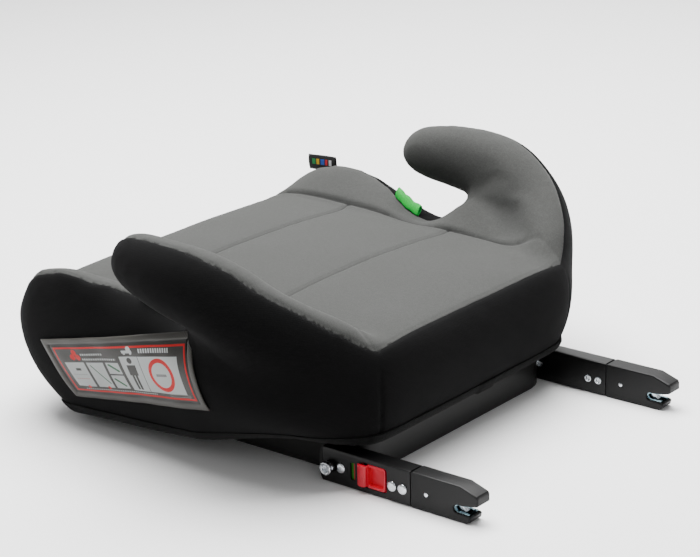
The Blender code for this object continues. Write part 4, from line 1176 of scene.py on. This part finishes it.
def smooth_by_angle(angle):
    """A geometry node group that shades faces smooth and keeps edges over angle sharp."""
    group = bpy.data.node_groups.new("smooth_by_angle", "GeometryNodeTree")
    group.interface.new_socket("Geometry", in_out="INPUT", socket_type="NodeSocketGeometry")
    group.interface.new_socket("Geometry", in_out="OUTPUT", socket_type="NodeSocketGeometry")
    nodes, links = group.nodes, group.links
    start, end = nodes.new("NodeGroupInput"), nodes.new("NodeGroupOutput")
    merge = nodes.new("GeometryNodeMergeByDistance")
    merge.inputs["Distance"].default_value = 0.000002
    faces = nodes.new("GeometryNodeSetShadeSmooth")
    edges = nodes.new("GeometryNodeSetShadeSmooth")
    edges.domain = "EDGE"
    edges.inputs["Shade Smooth"].default_value = False
    turn = nodes.new("GeometryNodeInputMeshEdgeAngle")
    sharp = nodes.new("ShaderNodeMath")
    sharp.operation = "GREATER_THAN"
    sharp.inputs[1].default_value = math.radians(angle)
    links.new(start.outputs[0], merge.inputs[0])
    links.new(merge.outputs[0], faces.inputs[0])
    links.new(faces.outputs[0], edges.inputs[0])
    links.new(turn.outputs[0], sharp.inputs[0])
    links.new(sharp.outputs[0], edges.inputs["Selection"])
    links.new(edges.outputs[0], end.inputs[0])
    return group


# For each kind of node: its look and the width of its rounded edges, 0 for none.
CAD_LOOKS = {
    "base_shell": ("base", 0),
    "base_frame": ("base", 0.8),
    "armrest_core": ("base", 0),
    "tube_saddle": ("base", 0.4),
    "cross_tube": ("steel", 0.3),
    "saddle_screw": ("steel", 0.2),
    "arm_tube": ("paint", 0.35),
    "end_plug": ("arm_plastic", 1.1),
    "nose_cover": ("arm_plastic", 0.5),
    "side_plate": ("zinc_blue", 0.15),
    "hook_pin": ("zinc", 0.2),
    "return_spring": ("steel", 0),
    "latch_hook": ("zinc", 0.25),
    "lock_plate": ("zinc_blue", 0.15),
    "indicator_flag": ("flag", 0),
    "release_button": ("red", 0.55),
}
SMOOTH = smooth_by_angle(50)
for node_name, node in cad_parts.items():
    for prefix, (look_name, edge_width) in CAD_LOOKS.items():
        if not node_name.startswith(prefix):
            continue
        for material_slot in node.material_slots:
            material_slot.material = LOOKS[look_name]
        smooth = node.modifiers.new("smooth", "NODES")
        smooth.node_group = SMOOTH
        if edge_width:
            edge = node.modifiers.new("rounded_edges", "BEVEL")
            edge.width = edge_width * MM
            edge.segments = 3
            edge.limit_method = "ANGLE"
            edge.angle_limit = math.radians(40)
        weighted = node.modifiers.new("flat_faces", "WEIGHTED_NORMAL")
        weighted.keep_sharp = True

# ---------------------------------------------------------------- floor, light and camera

floor_look = Look("studio_floor", Roughness=0.6, Specular_IOR_Level=0.2)
floor_tone = floor_look.noise(3, 2, 0.5)
floor_look.colour(floor_look.ramp(floor_tone, (0.3, 0.94), (0.7, 0.95)))
floor_points = [(-6000, -6000, -0.2), (6000, -6000, -0.2), (6000, 6000, -0.2), (-6000, 6000, -0.2)]
floor_mesh = mesh_from("studio_floor", floor_points, [(0, 1, 2, 3)])
floor = new_object("studio_floor", floor_mesh, floor_look.material)
floor.visible_diffuse = False

world = bpy.data.worlds.new("studio")
bpy.context.scene.world = world
world.use_nodes = True
world.node_tree.nodes["Background"].inputs["Color"].default_value = (1, 1, 1, 1)
world.node_tree.nodes["Background"].inputs["Strength"].default_value = 0.5


def area_light(name, place, target, size, power):
    """A soft square lamp at place, aimed at target, both in metres."""
    data = bpy.data.lights.new(name, "AREA")
    data.shape = "SQUARE"
    data.size = size
    data.energy = power
    made = bpy.data.objects.new(name, data)
    bpy.context.scene.collection.objects.link(made)
    made.location = place
    made.rotation_euler = (Vector(target) - Vector(place)).to_track_quat("-Z", "Y").to_euler()
    return made


area_light("overhead", (-0.25, -0.3, 1.9), (0, 0, 0), 1.8, 165)
area_light("rear_left", (1.3, 1.6, 1.1), (0, 0.05, 0.05), 1.0, 3)
area_light("front_fill", (-1.5, -0.6, 1.0), (0, 0, 0.1), 1.2, 8)


def camera():
    """The camera that sees the seat's rear and its left side."""
    turn, rise, roll = math.radians(129.0), math.radians(19.07), math.radians(-1.34)
    back = Vector((math.sin(turn) * math.cos(rise), -math.cos(turn) * math.cos(rise), math.sin(rise)))
    right = (-back).cross(Vector((0, 0, 1))).normalized()
    up = right.cross(-back)
    rolled_right = right * math.cos(roll) + up * math.sin(roll)
    rolled_up = up * math.cos(roll) - right * math.sin(roll)
    data = bpy.data.cameras.new("photo_view")
    data.sensor_width = 36
    data.lens = 116.0
    data.clip_start, data.clip_end = 0.05, 60
    made = bpy.data.objects.new("photo_view", data)
    bpy.context.scene.collection.objects.link(made)
    made.matrix_world = Matrix.Translation((1.4157, 1.1463, 0.7409)) @ Matrix(
        (rolled_right, rolled_up, back)
    ).transposed().to_4x4()
    bpy.context.scene.camera = made


camera()
